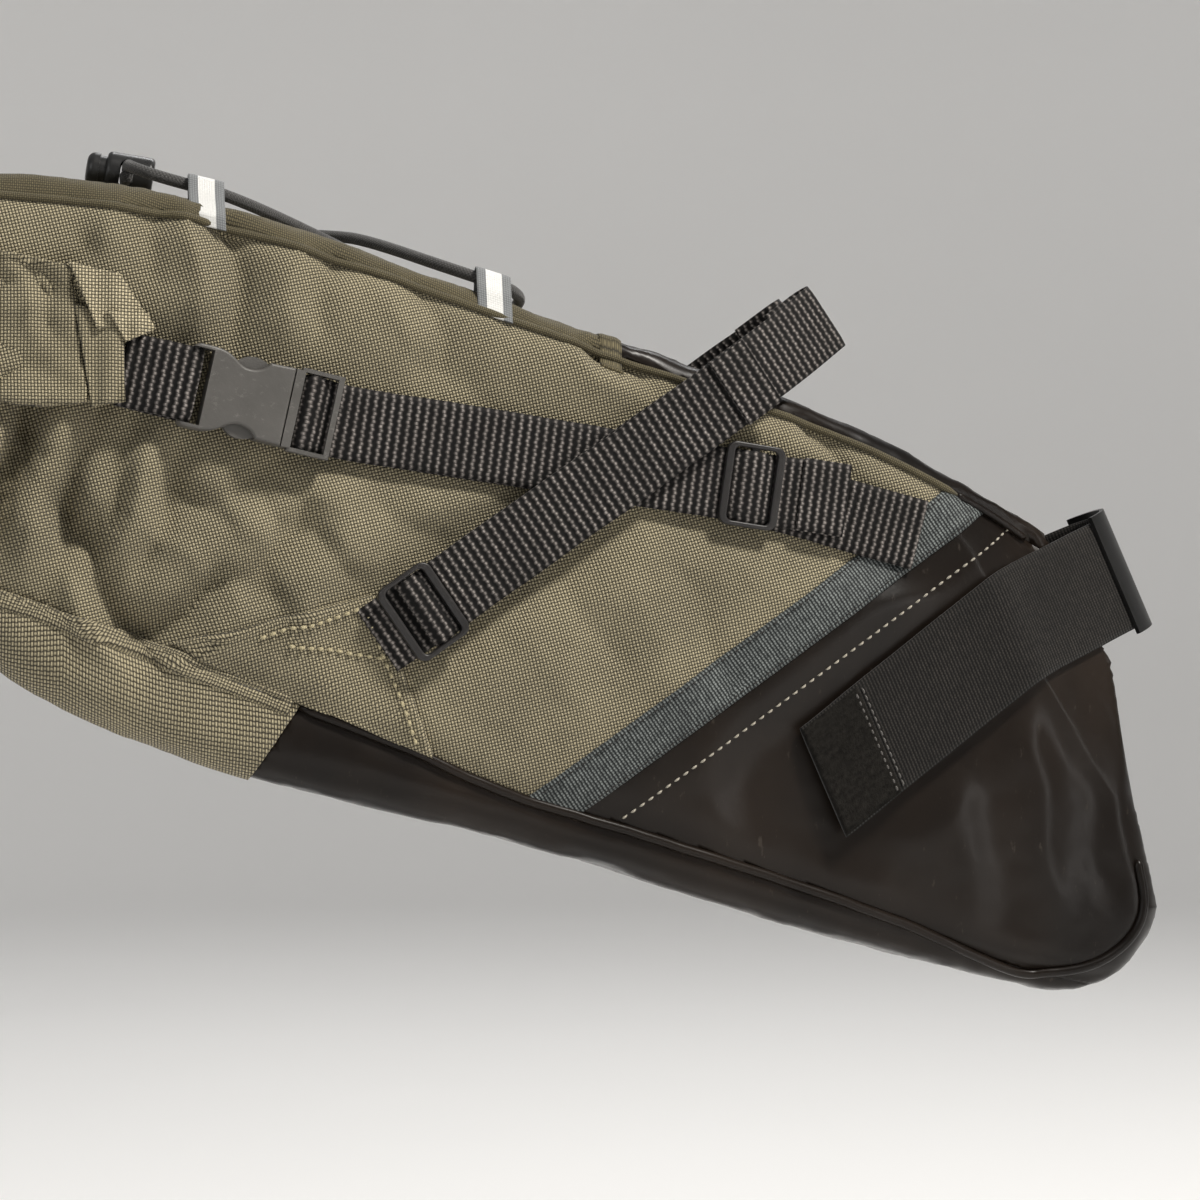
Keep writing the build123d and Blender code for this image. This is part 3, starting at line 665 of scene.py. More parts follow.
POST_CLEARANCE = 0.026
sideways = smooth(0.35, 0.85, np.abs(skin_normals[:, 1]))
relief = side_relief(skin_points) * sideways + end_relief(skin_points) * (1 - sideways)
ahead_of_post = skin_points[:, 0] * math.cos(POST_LEAN) + skin_points[:, 2] * math.sin(POST_LEAN)
from_post = np.hypot(ahead_of_post, skin_points[:, 1])
relief = np.where(from_post < POST_CLEARANCE, -0.0003, relief)
draped_points = skin_points + skin_normals * relief[:, None]
skin_tree = BVHTree.FromPolygons([Vector(p) for p in draped_points], skin_faces)


def on_side(x, z, lift=0.0, hand=1):
    """Point and normal on the rumpled side cloth at (x, z)."""
    hit = skin_tree.ray_cast(Vector((x, -0.3 * hand, z)), Vector((0, hand, 0)))
    if hit[0] is None:
        return wall(x, z, lift, hand), wall_normal(hand)
    normal = hit[1] if hit[1].y * hand < 0 else -hit[1]
    return hit[0] + normal * lift, normal


TAIL_SEAM = -0.381


def patch_front(z):
    """The olive patch under the tail ends along a line that leans back as it goes down."""
    return PATCH_FRONT + 0.7 * (z + 0.039)


NOSE_SEAM_Y = 0.019
SEAM_FUNCTIONS = [
    lambda p: p[:, 2] - top_seam_z(p[:, 0]),
    lambda p: p[:, 2] - bottom_seam_z(p[:, 0]),
    lambda p: ahead_of_divide(p[:, 0], p[:, 2]),
    lambda p: p[:, 0] - patch_front(p[:, 2]),
    lambda p: p[:, 0] - TOP_PANEL_FRONT,
    lambda p: p[:, 0] - TAIL_SEAM,
    lambda p: np.abs(p[:, 1]) - NOSE_SEAM_Y,
]


def panel_name(x, y, z):
    """The sewn panel that a place on the skin belongs to."""
    side = "right" if y < 0 else "left"
    if z > top_seam_z(x):
        return "top_panel" if x < TOP_PANEL_FRONT else "top_front_panel"
    if z < bottom_seam_z(x):
        return "tail_bottom_patch" if x < patch_front(z) else "bottom_panel"
    if x < TAIL_SEAM:
        return "tail_panel"
    if abs(y) < NOSE_SEAM_Y:
        return "nose_front_panel"
    return ("nose_side_panel_" if ahead_of_divide(x, z) > 0 else "side_panel_") + side


PANEL_LOOK = {
    "top_panel": (OLIVE_FINE, "olive_smooth"), "top_front_panel": (VINYL, "black_vinyl"),
    "bottom_panel": (VINYL, "black_vinyl"), "nose_front_panel": (VINYL, "black_vinyl"),
    "tail_panel": (OLIVE, "olive_cordura"), "tail_bottom_patch": (OLIVE, "olive_cordura"),
    "side_panel_right": (OLIVE, "olive_cordura"), "side_panel_left": (OLIVE, "olive_cordura"),
    "nose_side_panel_right": (VINYL, "black_vinyl"), "nose_side_panel_left": (VINYL, "black_vinyl"),
}
WEAVE_TURN = math.radians(-14)
CLOTH_THICK = 0.0011
PATCH_LIFT = 0.0012


def turned_cloth(x, z):
    """A side-view place on cloth that is cut with its threads turned."""
    c, s = math.cos(WEAVE_TURN), math.sin(WEAVE_TURN)
    return x * c - z * s, x * s + z * c, 0


def flat_place(name, p, around):
    """Where a skin point lies on its panel's flat cloth."""
    if "side" in name:
        return turned_cloth(p[0], p[2])
    if name in ("tail_panel", "nose_front_panel"):
        return (p[1], p[2], 0)
    return (p[0] * 1.04, around, 0)


def cut_along(bm, height):
    """Splits the faces where height(points) changes sign, so that a seam's edge is clean."""
    bm.verts.index_update()
    values = height(np.array([v.co for v in bm.verts]))
    values[np.abs(values) < 0.0002] = 0.0
    value = dict(zip(bm.verts, values.tolist()))
    for edge in [e for e in bm.edges if value[e.verts[0]] * value[e.verts[1]] < 0]:
        a, b = edge.verts
        _, fresh = bmesh.utils.edge_split(edge, a, value[a] / (value[a] - value[b]))
        value[fresh] = 0.0
    for face in list(bm.faces):
        seam = [v for v in face.verts if value[v] == 0.0]
        if len(seam) == 2 and not any(seam[1] in e.verts for e in seam[0].link_edges if e in face.edges):
            bmesh.utils.face_split(face, *seam)


def seamed_skin():
    """The draped skin as a bmesh, cut along every seam; each vertex keeps its flat place's inputs."""
    bm = bmesh.new()
    base, around = bm.verts.layers.float_vector.new("base"), bm.verts.layers.float.new("around")
    outward = bm.verts.layers.float_vector.new("outward")
    for co, flat, out, run in zip(draped_points, skin_points, skin_normals, skin_around):
        v = bm.verts.new(co)
        v[base], v[outward], v[around] = flat, out, run
    bm.verts.ensure_lookup_table()
    for face in skin_faces:
        bm.faces.new([bm.verts[i] for i in face])
    for height in SEAM_FUNCTIONS:
        cut_along(bm, height)
    return bm, base, outward, around


def build_panels():
    """One cloth piece for each sewn panel, from the cut skin's faces."""
    bm, base, outward, around = seamed_skin()
    chosen = {}
    for face in bm.faces:
        chosen.setdefault(panel_name(*face.calc_center_median()), []).append(face)
    for name, faces in chosen.items():
        used = list(dict.fromkeys(v for f in faces for v in f.verts))
        index = {v: k for k, v in enumerate(used)}
        lift = PATCH_LIFT if name == "tail_bottom_patch" else 0.0
        piece = new_mesh(f"{name}_cloth", [v.co + v[outward] * lift for v in used],
                         [[index[v] for v in f.verts] for f in faces],
                         [flat_place(name, v[base], v[around]) for v in used])
        thick = piece.modifiers.new("cloth_thickness", "SOLIDIFY")
        thick.thickness = CLOTH_THICK
        thick.offset = -1
        material, slot = PANEL_LOOK[name]
        finish_piece(piece, material, "bag", [name])
    bm.free()


build_panels()


# ======== trims laid on the cloth ========
def side_path(points, count, lift, hand):
    """A smooth line over the side cloth through (x, z) points in mm."""
    return [on_side(x, z, lift, hand) for x, z in curve_through(points, count)]


def cloth_strip(name, centres, width, thick, across=10, edge_roll=0.35, lift=0.0, hand=1, clip=False):
    """A flat tape laid over the side cloth along (x, z) points; clip ends it at the side's two seams."""
    centres = [Vector((x, z)) for x, z in centres]
    upper, lower, cloth, run = [], [], [], 0.0
    for i, c in enumerate(centres):
        ahead = (centres[min(i + 1, len(centres) - 1)] - centres[max(i - 1, 0)]).normalized()
        sideways_2d = Vector((-ahead.y, ahead.x))
        run += (c - centres[i - 1]).length if i else 0
        for j in range(across + 1):
            t = 2 * j / across - 1
            x, z = c + sideways_2d * (t * width / 2)
            if clip:
                z = min(max(z, bottom_seam_z(x) - 0.0006), top_seam_z(x) - 0.0004)
            place, normal = on_side(x, z, 0, hand)
            crown = thick * (1 - edge_roll * abs(t) ** 6)
            upper.append(place + normal * (lift + crown))
            lower.append(place + normal * (lift - 0.0004))
            cloth.append((run, t * width / 2, 0))
    return band_mesh(name, upper, lower, cloth, len(centres), across + 1)


def band_mesh(name, upper, lower, cloth, rows, columns):
    """A closed thin band from its upper and lower grids."""
    count = rows * columns
    faces = [tuple(f) for f in grid_faces(rows, columns)]
    faces += [tuple(count + i for i in reversed(f)) for f in grid_faces(rows, columns)]
    for i in range(rows - 1):
        a, b = i * columns, (i + 1) * columns
        faces.append((a, b, count + b, count + a))
        c, d = a + columns - 1, b + columns - 1
        faces.append((d, c, count + c, count + d))
    for j in range(columns - 1):
        faces.append((j + 1, j, count + j, count + j + 1))
        e = (rows - 1) * columns + j
        faces.append((e, e + 1, count + e + 1, count + e))
    piece = new_mesh(name, list(upper) + list(lower), faces, list(cloth) * 2)
    bpy.context.view_layer.update()
    return piece


def stitches(name, pairs, thread=0.00032, fill=0.72):
    """Short thread stitches, each between a pair of points."""
    verts, faces, cloth = [], [], []
    rings, around = 5, 6
    for start, end, normal in pairs:
        middle, half = (start + end) / 2, (end - start) * 0.5 * fill
        ahead = half.normalized()
        side = ahead.cross(normal).normalized()
        base = len(verts)
        for i in range(rings):
            t = 2 * i / (rings - 1) - 1
            size = thread * math.sqrt(max(1 - 0.92 * t * t, 0.05))
            dip = -thread * 1.1 * t * t
            for j in range(around):
                a = 2 * math.pi * j / around
                rim = side * (size * math.cos(a)) + normal * (size * math.sin(a) + dip)
                verts.append(middle + half * t + rim)
                cloth.append((t * half.length, size * a, 0))
        faces += [tuple(base + k for k in f) for f in grid_faces(rings, around, True)]
        faces.append(tuple(base + k for k in range(around - 1, -1, -1)))
        faces.append(tuple(base + (rings - 1) * around + k for k in range(around)))
    return new_mesh(name, verts, faces, cloth)


def stitch_run(points, pitch):
    """Pairs for stitches along (point, normal) samples."""
    places = [p for p, _ in points]
    runs = np.cumsum([0] + [(b - a).length for a, b in zip(places, places[1:])])
    pairs = []
    for k in range(int(runs[-1] / pitch)):
        ends = []
        for s in (k * pitch, (k + 1) * pitch):
            i = min(int(np.searchsorted(runs, s, "right")) - 1, len(places) - 2)
            t = (s - runs[i]) / max(runs[i + 1] - runs[i], 1e-9)
            ends.append((places[i].lerp(places[i + 1], t), points[i][1]))
        pairs.append((ends[0][0], ends[1][0], ends[0][1]))
    return pairs


def welt(name, samples, radius, material, nodes=()):
    """A round welt along (point, normal) samples, thinner at its two ends."""
    piece = tube(name, [p for p, _ in samples], radius, 10, taper=0.5, hint=Vector((0, 1, 0)))
    return finish_piece(piece, material, "bag", nodes)


def line_points(start, end, count):
    """Even points on a straight line given in mm."""
    a, b = Vector(start), Vector(end)
    return [a.lerp(b, i / count) * MM for i in range(count + 1)]


PIPING_LINE = [(-276, -39), (-240, -53), (-207, -68), (-160, -83), (-112, -99), (-70, -114), (-31, -131),
               (-16, -132), (0, -129), (12, -121), (17, -110), (15, -94)]
TOP_WELT = [(-386, 126), (-345, 123), (-306, 118), (-256, 104.5),
            (-208, 89), (-150, 70), (-92, 51), (-50, 32)]
NOSE_WELT = [(-50, 32), (-36, 24.5), (-24, 17)]
WELT_RADIUS, PIPING_RADIUS, WELT_LIFT = 0.0013, 0.0017, 0.0006
TAPE_WIDTH, TAPE_THICK = 0.0150, 0.0009
for side, hand in SIDES:
    samples = side_path(TOP_WELT, 12, WELT_LIFT, hand)
    welt(f"top_seam_welt_{side}", samples, WELT_RADIUS, OLIVE_FINE)
    samples = side_path(NOSE_WELT, 12, WELT_LIFT, hand)
    welt(f"nose_top_welt_{side}", samples, WELT_RADIUS, VINYL)
    samples = side_path(PIPING_LINE, 8, WELT_LIFT, hand)
    welt(f"bottom_piping_{side}", samples, PIPING_RADIUS, VINYL, [f"seam_piping_{side}"])

    # grosgrain over the joint between olive cloth and vinyl, pressed down along both long edges
    centre = line_points((-34, 38.8), (-208, -84.2), 100)
    name = f"grosgrain_tape_{side}"
    tape = cloth_strip(name, centre, TAPE_WIDTH, TAPE_THICK, 16, 0.7, 0.0003, hand, clip=True)
    finish_piece(tape, GROSGRAIN, "bag", [f"grosgrain_binding_{side}"])
    across = Vector((111, -157)).normalized() * MM
    for k, offset in enumerate((-6.2, 6.2)):
        beside_tape = [c + across * offset for c in centre]
        shifted = [on_side(c.x, c.y, 0.0014, hand) for c in beside_tape
                   if bottom_seam_z(c.x) + 0.002 < c.y < top_seam_z(c.x) - 0.003]
        edge = stitches(f"binding_stitch_{k}_{side}", stitch_run(shifted, 0.0027), 0.00026)
        finish_piece(edge, THREAD_DARK)
    vinyl_line = [on_side(c.x, c.y, 0.0004, hand) for c in line_points((-29, 21), (-171, -79), 100)]
    edge = stitches(f"nose_stitch_{side}", stitch_run(vinyl_line, 0.0036), 0.00042, 0.6)
    finish_piece(edge, THREAD_PALE)


# ---- the second layer of cloth that the ladder lock's tab is sewn under ----
GUSSET = [(-318, -19), (-252, -2.5), (-231, -57), (-274, -38)]
GUSSET_SEWING = [((-290, -16.5), (-256, -7.0)), ((-254.5, -8.5), (-236.5, -53)),
                 ((-280, -18.5), (-248, -23.5))]
LANDING = [(-62, -16), (-48, -48), (-90, -79.5), (-104, -47.5)]
WEAVE_SHIFT = 0.0007


def patch_on_side(name, corners, hand, thick, step=0.0022):
    """A cloth patch with straight edges laid over the side, from corners in mm in side view."""
    p = [Vector(c) * MM for c in corners]
    rows = max(int(max((p[1] - p[0]).length, (p[2] - p[3]).length) / step), 4)
    columns = max(int(max((p[3] - p[0]).length, (p[2] - p[1]).length) / step), 4)
    upper, lower, cloth = [], [], []
    for i in range(rows + 1):
        for j in range(columns + 1):
            u, v = i / rows, j / columns
            flat = (p[0] * (1 - u) + p[1] * u) * (1 - v) + (p[3] * (1 - u) + p[2] * u) * v
            place, normal = on_side(flat.x, flat.y, 0, hand)
            rim = min(i, rows - i, j, columns - j)
            puff = thick * (1.25 if rim == 1 else 1.0 if rim else 0.75)
            upper.append(place + normal * puff)
            lower.append(place - normal * 0.0003)
            along, beside_it, _ = turned_cloth(flat.x, flat.y)
            cloth.append((along + WEAVE_SHIFT, beside_it, 0))
    return band_mesh(name, upper, lower, cloth, rows + 1, columns + 1)


for side, hand in SIDES:
    gusset = patch_on_side(f"anchor_gusset_cloth_{side}", GUSSET, hand, 0.0020)
    finish_piece(gusset, OLIVE, "bag", [f"anchor_gusset_{side}"])
    runs = []
    for a, b in GUSSET_SEWING:
        line = [on_side(c.x, c.y, 0.0027, hand) for c in line_points(a, b, 30)]
        runs += stitch_run(line, 0.0034)
    finish_piece(stitches(f"gusset_stitch_{side}", runs, 0.00065, 0.66), THREAD_TAN)
    fold = [on_side(c.x, c.y, 0.0012, hand) for c in line_points((-330, -17), (-278, -36), 24)]
    welt(f"patch_fold_{side}", fold, 0.0015, OLIVE)
    hem_line = [(x, float(bottom_seam_z(x)) - 0.0028) for x in np.linspace(-0.376, PATCH_FRONT - 0.003, 60)]
    hem = cloth_strip(f"patch_hem_{side}", hem_line, 0.0062, 0.0026, 8, 0.6, 0.0, hand)
    finish_piece(hem, OLIVE)

landing = patch_on_side("hook_landing_cloth", LANDING, 1, 0.0007, 0.003)
finish_piece(landing, STRAP, "bag", ["hook_landing_patch"])


def top_point(x, y, lift):
    """Point and normal on the rumpled top cloth at (x, y)."""
    hit = skin_tree.ray_cast(Vector((x, y, 0.3)), Vector((0, 0, -1)))
    normal = hit[1] if hit[1].z > 0 else -hit[1]
    return hit[0] + normal * lift, normal


def top_seam_tape(half_length=0.0525, back=-0.1752, width=0.0074, rows=61, columns=7):
    """The tape across the top, over the seam between olive cloth and vinyl."""
    upper, lower, cloth = [], [], []
    for i in range(rows):
        y = -half_length + 2 * half_length * i / (rows - 1)
        for j in range(columns):
            x = back + width * j / (columns - 1)
            place, normal = top_point(x, y, 0)
            upper.append(place + normal * (0.0010 if 0 < j < columns - 1 else 0.0006))
            lower.append(place - normal * 0.0003)
            cloth.append((y, x, 0))
    return band_mesh("top_seam_tape", upper, lower, cloth, rows, columns)


seam_tape = top_seam_tape()
finish_piece(seam_tape, OLIVE_FINE, "bag", ["top_seam_binding"])


# ======== webbing that runs in bars: paths as (centre, width direction), with real ribs ========
def chaikin(points, times):
    """A path with its corners cut, times over."""
    for _ in range(times):
        out = [points[0]]
        for a, b in zip(points, points[1:]):
            out += [a * 0.75 + b * 0.25, a * 0.25 + b * 0.75]
        points = [*out, points[-1]]
    return points


def resample(points, step):
    """Even rows along a path, with the run at each."""
    p = np.array(points)
    runs = np.concatenate([[0], np.cumsum(np.linalg.norm(np.diff(p[:, :3], axis=0), axis=1))])
    count = max(int(runs[-1] / step), 2)
    at = np.linspace(0, runs[-1], count + 1)
    return np.column_stack([np.interp(at, runs, p[:, k]) for k in range(p.shape[1])]), at


def webbing_band(name, path, hand, width=0.0240, thick=0.0014, step=0.00048, rib=RIB, ribs=0.00020, across=12,
                 smoothing=2):
    """A webbing band along path rows (x, y, z, wx, wy, wz): centre and width direction."""
    path, runs = resample(chaikin([np.array(r, float) for r in path], smoothing), step)
    centres, wide = path[:, :3], path[:, 3:]
    wide /= np.linalg.norm(wide, axis=1)[:, None]
    ahead = np.gradient(centres, axis=0)
    ahead /= np.linalg.norm(ahead, axis=1)[:, None]
    out = np.cross(wide, ahead)
    out /= np.linalg.norm(out, axis=1)[:, None]
    upper, lower, cloth = [], [], []
    wobble = [0.0004 * noise.noise(Vector((s * 40, hash_of(name), 0))) for s in runs]
    for i in range(len(centres)):
        wave = ribs * math.sin(2 * math.pi * runs[i] / rib)
        for j in range(across + 1):
            t = 2 * j / across - 1
            selvage = 1 - 0.5 * abs(t) ** 10
            groove = 1 - 0.12 * math.exp(-(((abs(t) - 0.86) / 0.04) ** 2))
            half = (thick / 2 * groove + wave) * selvage
            base = centres[i] + wide[i] * (t * width / 2 + wobble[i])
            upper.append(base + out[i] * half)
            lower.append(base - out[i] * (half - wave * selvage))
            cloth.append((runs[i], t * width / 2, 0))
    turned = [Vector((p[0], p[1] * hand, p[2])) for p in (upper + lower)]
    rows, columns = len(centres), across + 1
    return band_mesh(name, turned[: rows * columns], turned[rows * columns :], cloth, rows, columns)


def hash_of(text):
    """A number that differs from one piece's name to the next."""
    return sum(ord(c) for c in text) * 0.37


def local(place, points):
    """Path rows from (along, off) points in mm seen edge-on at a place."""
    origin, along, across = wall_axes(place)
    n = wall_normal()
    rows = []
    for s, h in points:
        c = origin + along * (s * MM) + n * (h * MM)
        rows.append((*c, *across))
    return rows


def arc(centre, radius, start, end, count):
    """Points round a centre, from angle start to angle end in degrees."""
    turns = [math.radians(start + (end - start) * i / count) for i in range(count + 1)]
    return [(centre[0] + radius * math.cos(a), centre[1] + radius * math.sin(a)) for a in turns]


def further(place, distance, slope):
    """A place distance mm along a strap from another, with a new slope."""
    x, z, old = place
    run = distance * math.cos(math.radians(old)) * math.cos(TAPER)
    return (x + run, z + distance * math.sin(math.radians(old)), slope)


# how far each layer of strap lies off the wall, in mm
LOWER, UPPER = 1.0, 2.7
LONG_SLOPE = -8.1
LONG = further(BUCKLE, 24, LONG_SLOPE)
REACH = (GLIDE[0] - LONG[0]) / math.cos(math.radians(LONG_SLOPE)) / math.cos(TAPER)
STRAP_END = (GLIDE[0], GLIDE[1], LONG_SLOPE)
HEM = {"width": 0.0246, "thick": 0.0015, "ribs": 0.00016}
RAIL_LOAD, RAIL_TAIL = 4.5, 6.2
LOOP_TURN = math.radians(26)


def from_loop(forward, out):
    """A point of the rail strap's end loop, in the loop's own turned directions, in mm."""
    c, s = math.cos(LOOP_TURN), math.sin(LOOP_TURN)
    return (173.4 + forward * c + out * s, -16.8 - forward * s + out * c)


GLIDE_LINE = (GLIDE[0], GLIDE[1], ANCHOR[2])
for side, hand in SIDES:
    # tail webbing: sewn to the roll's wing, round the buckle's slotted bar and back
    path = local(BUCKLE, [(-54.5, 3.2), (-50, 3.0), (-40, 2.2), (-33.4, 1.6),
                          *arc((-32.8, 4.2), 2.6, -90, 90, 8),
                          (-33.4, 6.8), (-40, 6.2), (-50, 4.8), (-54.5, 4.9)])
    tail_web = webbing_band(f"tail_webbing_band_{side}", path, hand, smoothing=1)
    finish_piece(tail_web, WEBBING, "bag", [f"tail_webbing_{side}"])

    # compression strap: anchored under the grosgrain, round the buckle's bar, back over the slider to its hem
    anchor = local(GLIDE_LINE, [(63, LOWER), (40, LOWER), (12, LOWER)])
    under = local(LONG, [(REACH - 12, LOWER), (REACH * 0.5, LOWER), (12, LOWER)])
    round_bar = local(BUCKLE, [(20, LOWER), (13, LOWER), (9.6, 1.4), (7.4, 1.5),
                               *arc((7.0, 4.3), 2.8, -90, -270, 12),
                               (7.4, 7.1), (10, 6.2), (13.4, 3.6), (18, 2.9)])
    back = local(LONG, [(2, UPPER), (30, UPPER), (REACH * 0.5, UPPER),
                        (REACH - 14, UPPER), (REACH - 8, UPPER + 0.2),
                        (REACH - 3.2, 5.2), (REACH - 1.4, 5.45), (REACH + 1.4, 5.45), (REACH + 3.2, 5.2),
                        (REACH + 8, UPPER + 0.2), (REACH + 12, UPPER)])
    tail = local(STRAP_END, [(15, UPPER), (24, UPPER + 0.1), (33.5, UPPER + 0.2)])
    strap = webbing_band(f"compression_strap_band_{side}", anchor + under + round_bar + back + tail, hand)
    finish_piece(strap, WEBBING, None, [f"compression_strap_{side}"])
    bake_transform(strap)
    path = local(STRAP_END, [(17.5, UPPER + 1.55), (22, UPPER + 1.6), (34, UPPER + 1.7)])
    hem = webbing_band(f"compression_hem_{side}", path, hand, **HEM)
    finish_piece(hem, WEBBING, f"strap_slider_{side}")

    # rail strap: its load layer turns round the lock's middle bar, its tail lies back over it
    turn = arc((0, 6.7), 2.2, -270, -90, 12)
    ring = [from_loop(up, out) for out, up in arc((0, 0), 4.3, 0, 180, 12)]
    path = local(LOCK, [(140, RAIL_TAIL + 0.2), (110, RAIL_TAIL), (60, RAIL_TAIL),
                        (14, RAIL_TAIL + 0.1), (7.4, RAIL_TAIL + 0.2),
                        (3.2, 8.7), *turn, (4, RAIL_LOAD - 0.1), (60, RAIL_LOAD), (129, RAIL_LOAD),
                        from_loop(-16, 4.3), *ring, from_loop(-14, -4.3)])
    rail = webbing_band(f"rail_strap_band_{side}", path, hand)
    finish_piece(rail, WEBBING, None, [f"rail_strap_{side}"])
    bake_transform(rail)
    path = local(LOCK, [(127, RAIL_TAIL + 1.6), (133, RAIL_TAIL + 1.6), (141, RAIL_TAIL + 1.7)])
    hem = webbing_band(f"rail_hem_{side}", path, hand, **HEM)
    finish_piece(hem, WEBBING)
    path = local(LOCK, [(-17, 1.9), (-12, 2.3), (-4, 2.4), (4, 2.4)])
    tab = webbing_band(f"lock_tab_band_{side}", path, hand)
    finish_piece(tab, WEBBING, "bag", [f"lock_tab_{side}"])


# ======== clamp strap round the seatpost, its hook end lying on the right side ========
def post_point(forward, side_off, up=0.0):
    """A point in the seatpost's own directions, in mm."""
    c, s = math.cos(POST_LEAN), math.sin(POST_LEAN)
    return Vector((forward * c - up * s, side_off, forward * s + up * c)) * MM


STRAP_LINE = 17.0
touch_angle = math.radians(90) - FLANK
touch = (STRAP_LINE * math.cos(touch_angle), STRAP_LINE * math.sin(touch_angle))
post_axis = post_point(0, 0, 1).normalized()


def leg(forward):
    """How far out the strap's straight leg is, forward of the post's axis."""
    return touch[1] + (touch[0] - forward) * math.tan(FLANK)


start_left = [(-62, 41.2), (-50, 41.0), (-36, leg(-36)), (-16, leg(-16)), (0, leg(0)), touch]
bow = [(STRAP_LINE * math.cos(a), STRAP_LINE * math.sin(a))
       for a in np.linspace(touch_angle, -touch_angle, 22)[1:-1]]
right_leg = [(touch[0], -touch[1]), (0, -leg(0)), (-16, -leg(-16)), (-24, -leg(-24))]
path = [(*post_point(f, s), *post_axis) for f, s in [*start_left, *bow, *right_leg]]
FLAP_ROOT, FLAP_TIP = (-31, -13.6), (-99.5, -65.8)


def on_flap(t, lift):
    """A point lift off the wall, t of the way from the flap's root to its tip."""
    x, z = ((1 - t) * a + t * b for a, b in zip(FLAP_ROOT, FLAP_TIP))
    return wall(x * MM, z * MM, lift)


path += [(*on_flap(t, 0.0030), *post_axis) for t in np.linspace(0, 1, 9)]
clamp = webbing_band("clamp_strap_band", path, 1, 0.040, 0.0024, 0.0012, ribs=0, across=20)
finish_piece(clamp, STRAP, None, ["seatpost_strap", "strap_flap"])
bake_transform(clamp)

tip_path = [(*on_flap(t, 0.0046), *post_axis) for t in np.linspace(0.72, 1.0, 5)]
tip = webbing_band("hook_end_tape", tip_path, 1, 0.0385, 0.0014, 0.0012, ribs=0, across=20, smoothing=0)
finish_piece(tip, HOOK, "strap_flap")
seam_pairs = []
for t, lift in ((0.70, 0.0044), (0.735, 0.0052)):
    centre = on_flap(t, lift)
    rows = [(centre + post_axis * (0.0185 * (2 * k / 40 - 1)), wall_normal()) for k in range(41)]
    seam_pairs += stitch_run(rows, 0.0026)
hook_seam = stitches("hook_end_stitch", seam_pairs, 0.00042, 0.9)
finish_piece(hook_seam, THREAD_GREY, "strap_flap")


# ======== rolled mouth and its folded ends ========
def remeshed(name, node, voxel, smoothing):
    """A soft copy of a CAD solid's form, evenly meshed."""
    piece = bpy.data.objects.new(name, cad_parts[node].data.copy())
    bpy.context.scene.collection.objects.link(piece)
    for kind, settings in (("REMESH", {"mode": "VOXEL", "voxel_size": voxel}),
                           ("SMOOTH", {"factor": 0.5, "iterations": smoothing})):
        modifier = piece.modifiers.new(kind.lower(), kind)
        for key, value in settings.items():
            setattr(modifier, key, value)
    graph = bpy.context.evaluated_depsgraph_get()
    mesh = bpy.data.meshes.new_from_object(piece.evaluated_get(graph))
    bpy.data.objects.remove(piece)
    mesh.name = name
    mesh.shade_smooth()
    piece = bpy.data.objects.new(name, mesh)
    bpy.context.scene.collection.objects.link(piece)
    return piece


def reshape(piece, offset, flat):
    """Moves each vertex along its normal by offset(points, normals), and writes the cloth places."""
    count = len(piece.data.vertices)
    co, no = np.zeros(count * 3, np.float32), np.zeros(count * 3, np.float32)
    piece.data.vertices.foreach_get("co", co)
    piece.data.vertices.foreach_get("normal", no)
    co, no = co.reshape(-1, 3).astype(float), no.reshape(-1, 3).astype(float)
    moved = co + no * offset(co, no)[:, None]
    piece.data.vertices.foreach_set("co", moved.astype(np.float32).ravel())
    places = piece.data.attributes.new("cloth", "FLOAT_VECTOR", "POINT")
    places.data.foreach_set("vector", np.array(flat(co), np.float32).ravel())
    piece.data.update()


def beside(x, z, start, end):
    """Signed distance in metres to the right of the line from start up to end, in mm in side view."""
    ax, az = start[0] * MM, start[1] * MM
    dx, dz = end[0] * MM - ax, end[1] * MM - az
    return ((x - ax) * dz - (z - az) * dx) / math.hypot(dx, dz)


WING_PLEATS = [((-362, 106), (-353, 80), 3, 3.0, 1.6), ((-388, 74), (-352, 66), 5, 3.0, 1.6),
               ((-390, 98), (-354, 95), 4, 2.4, 1.4), ((-372, 108), (-378, 60), 6, 3.0, 1.6)]


def wing_offset(points, normals):
    """The flap's folded edge as a step, pleats gathered towards it, and slack behind."""
    x, z = points[:, 0], points[:, 2]
    outer = smooth(0.7, 0.97, np.abs(normals[:, 1]))
    step = -0.0042 * smooth(0.0, 0.0014, beside(x, z, (-343.5, 58), (-350.5, 106)))
    pleats = sum(crease(x, z, *pleat) for pleat in WING_PLEATS)
    return (pleats + step) * outer + 0.0010 * rumple(points, 45, 2.0) - 0.0004


def roll_offset(points, normals):
    """The free lip of the roll as a step along its back, and slack across its width."""
    lip = 0.074
    step = 0.0016 * near_line(points[:, 2] - lip, 0.0016) * (normals[:, 0] < -0.4)
    below = -0.0012 * smooth(lip, lip - 0.0015, points[:, 2]) * (normals[:, 0] < -0.2)
    slack = 0.0010 * np.sin(points[:, 1] * 95 + points[:, 2] * 30) + 0.0007 * rumple(points, 40, 4.0)
    return step + below + slack - 0.0008


roll = remeshed("rolled_mouth", "roll_closure", 0.0024, 2)
reshape(roll, roll_offset, lambda p: np.column_stack([p[:, 1], p[:, 2] + p[:, 0], np.zeros(len(p))]))
finish_piece(roll, OLIVE, "bag", ["roll_closure"])
for side, hand in SIDES:
    wing = remeshed(f"folded_wing_{side}", f"roll_wing_{side}", 0.0016, 4)
    reshape(wing, wing_offset, lambda p: np.column_stack([p[:, 0], p[:, 2], np.zeros(len(p))]))
    finish_piece(wing, OLIVE, "bag", [f"roll_wing_{side}"])


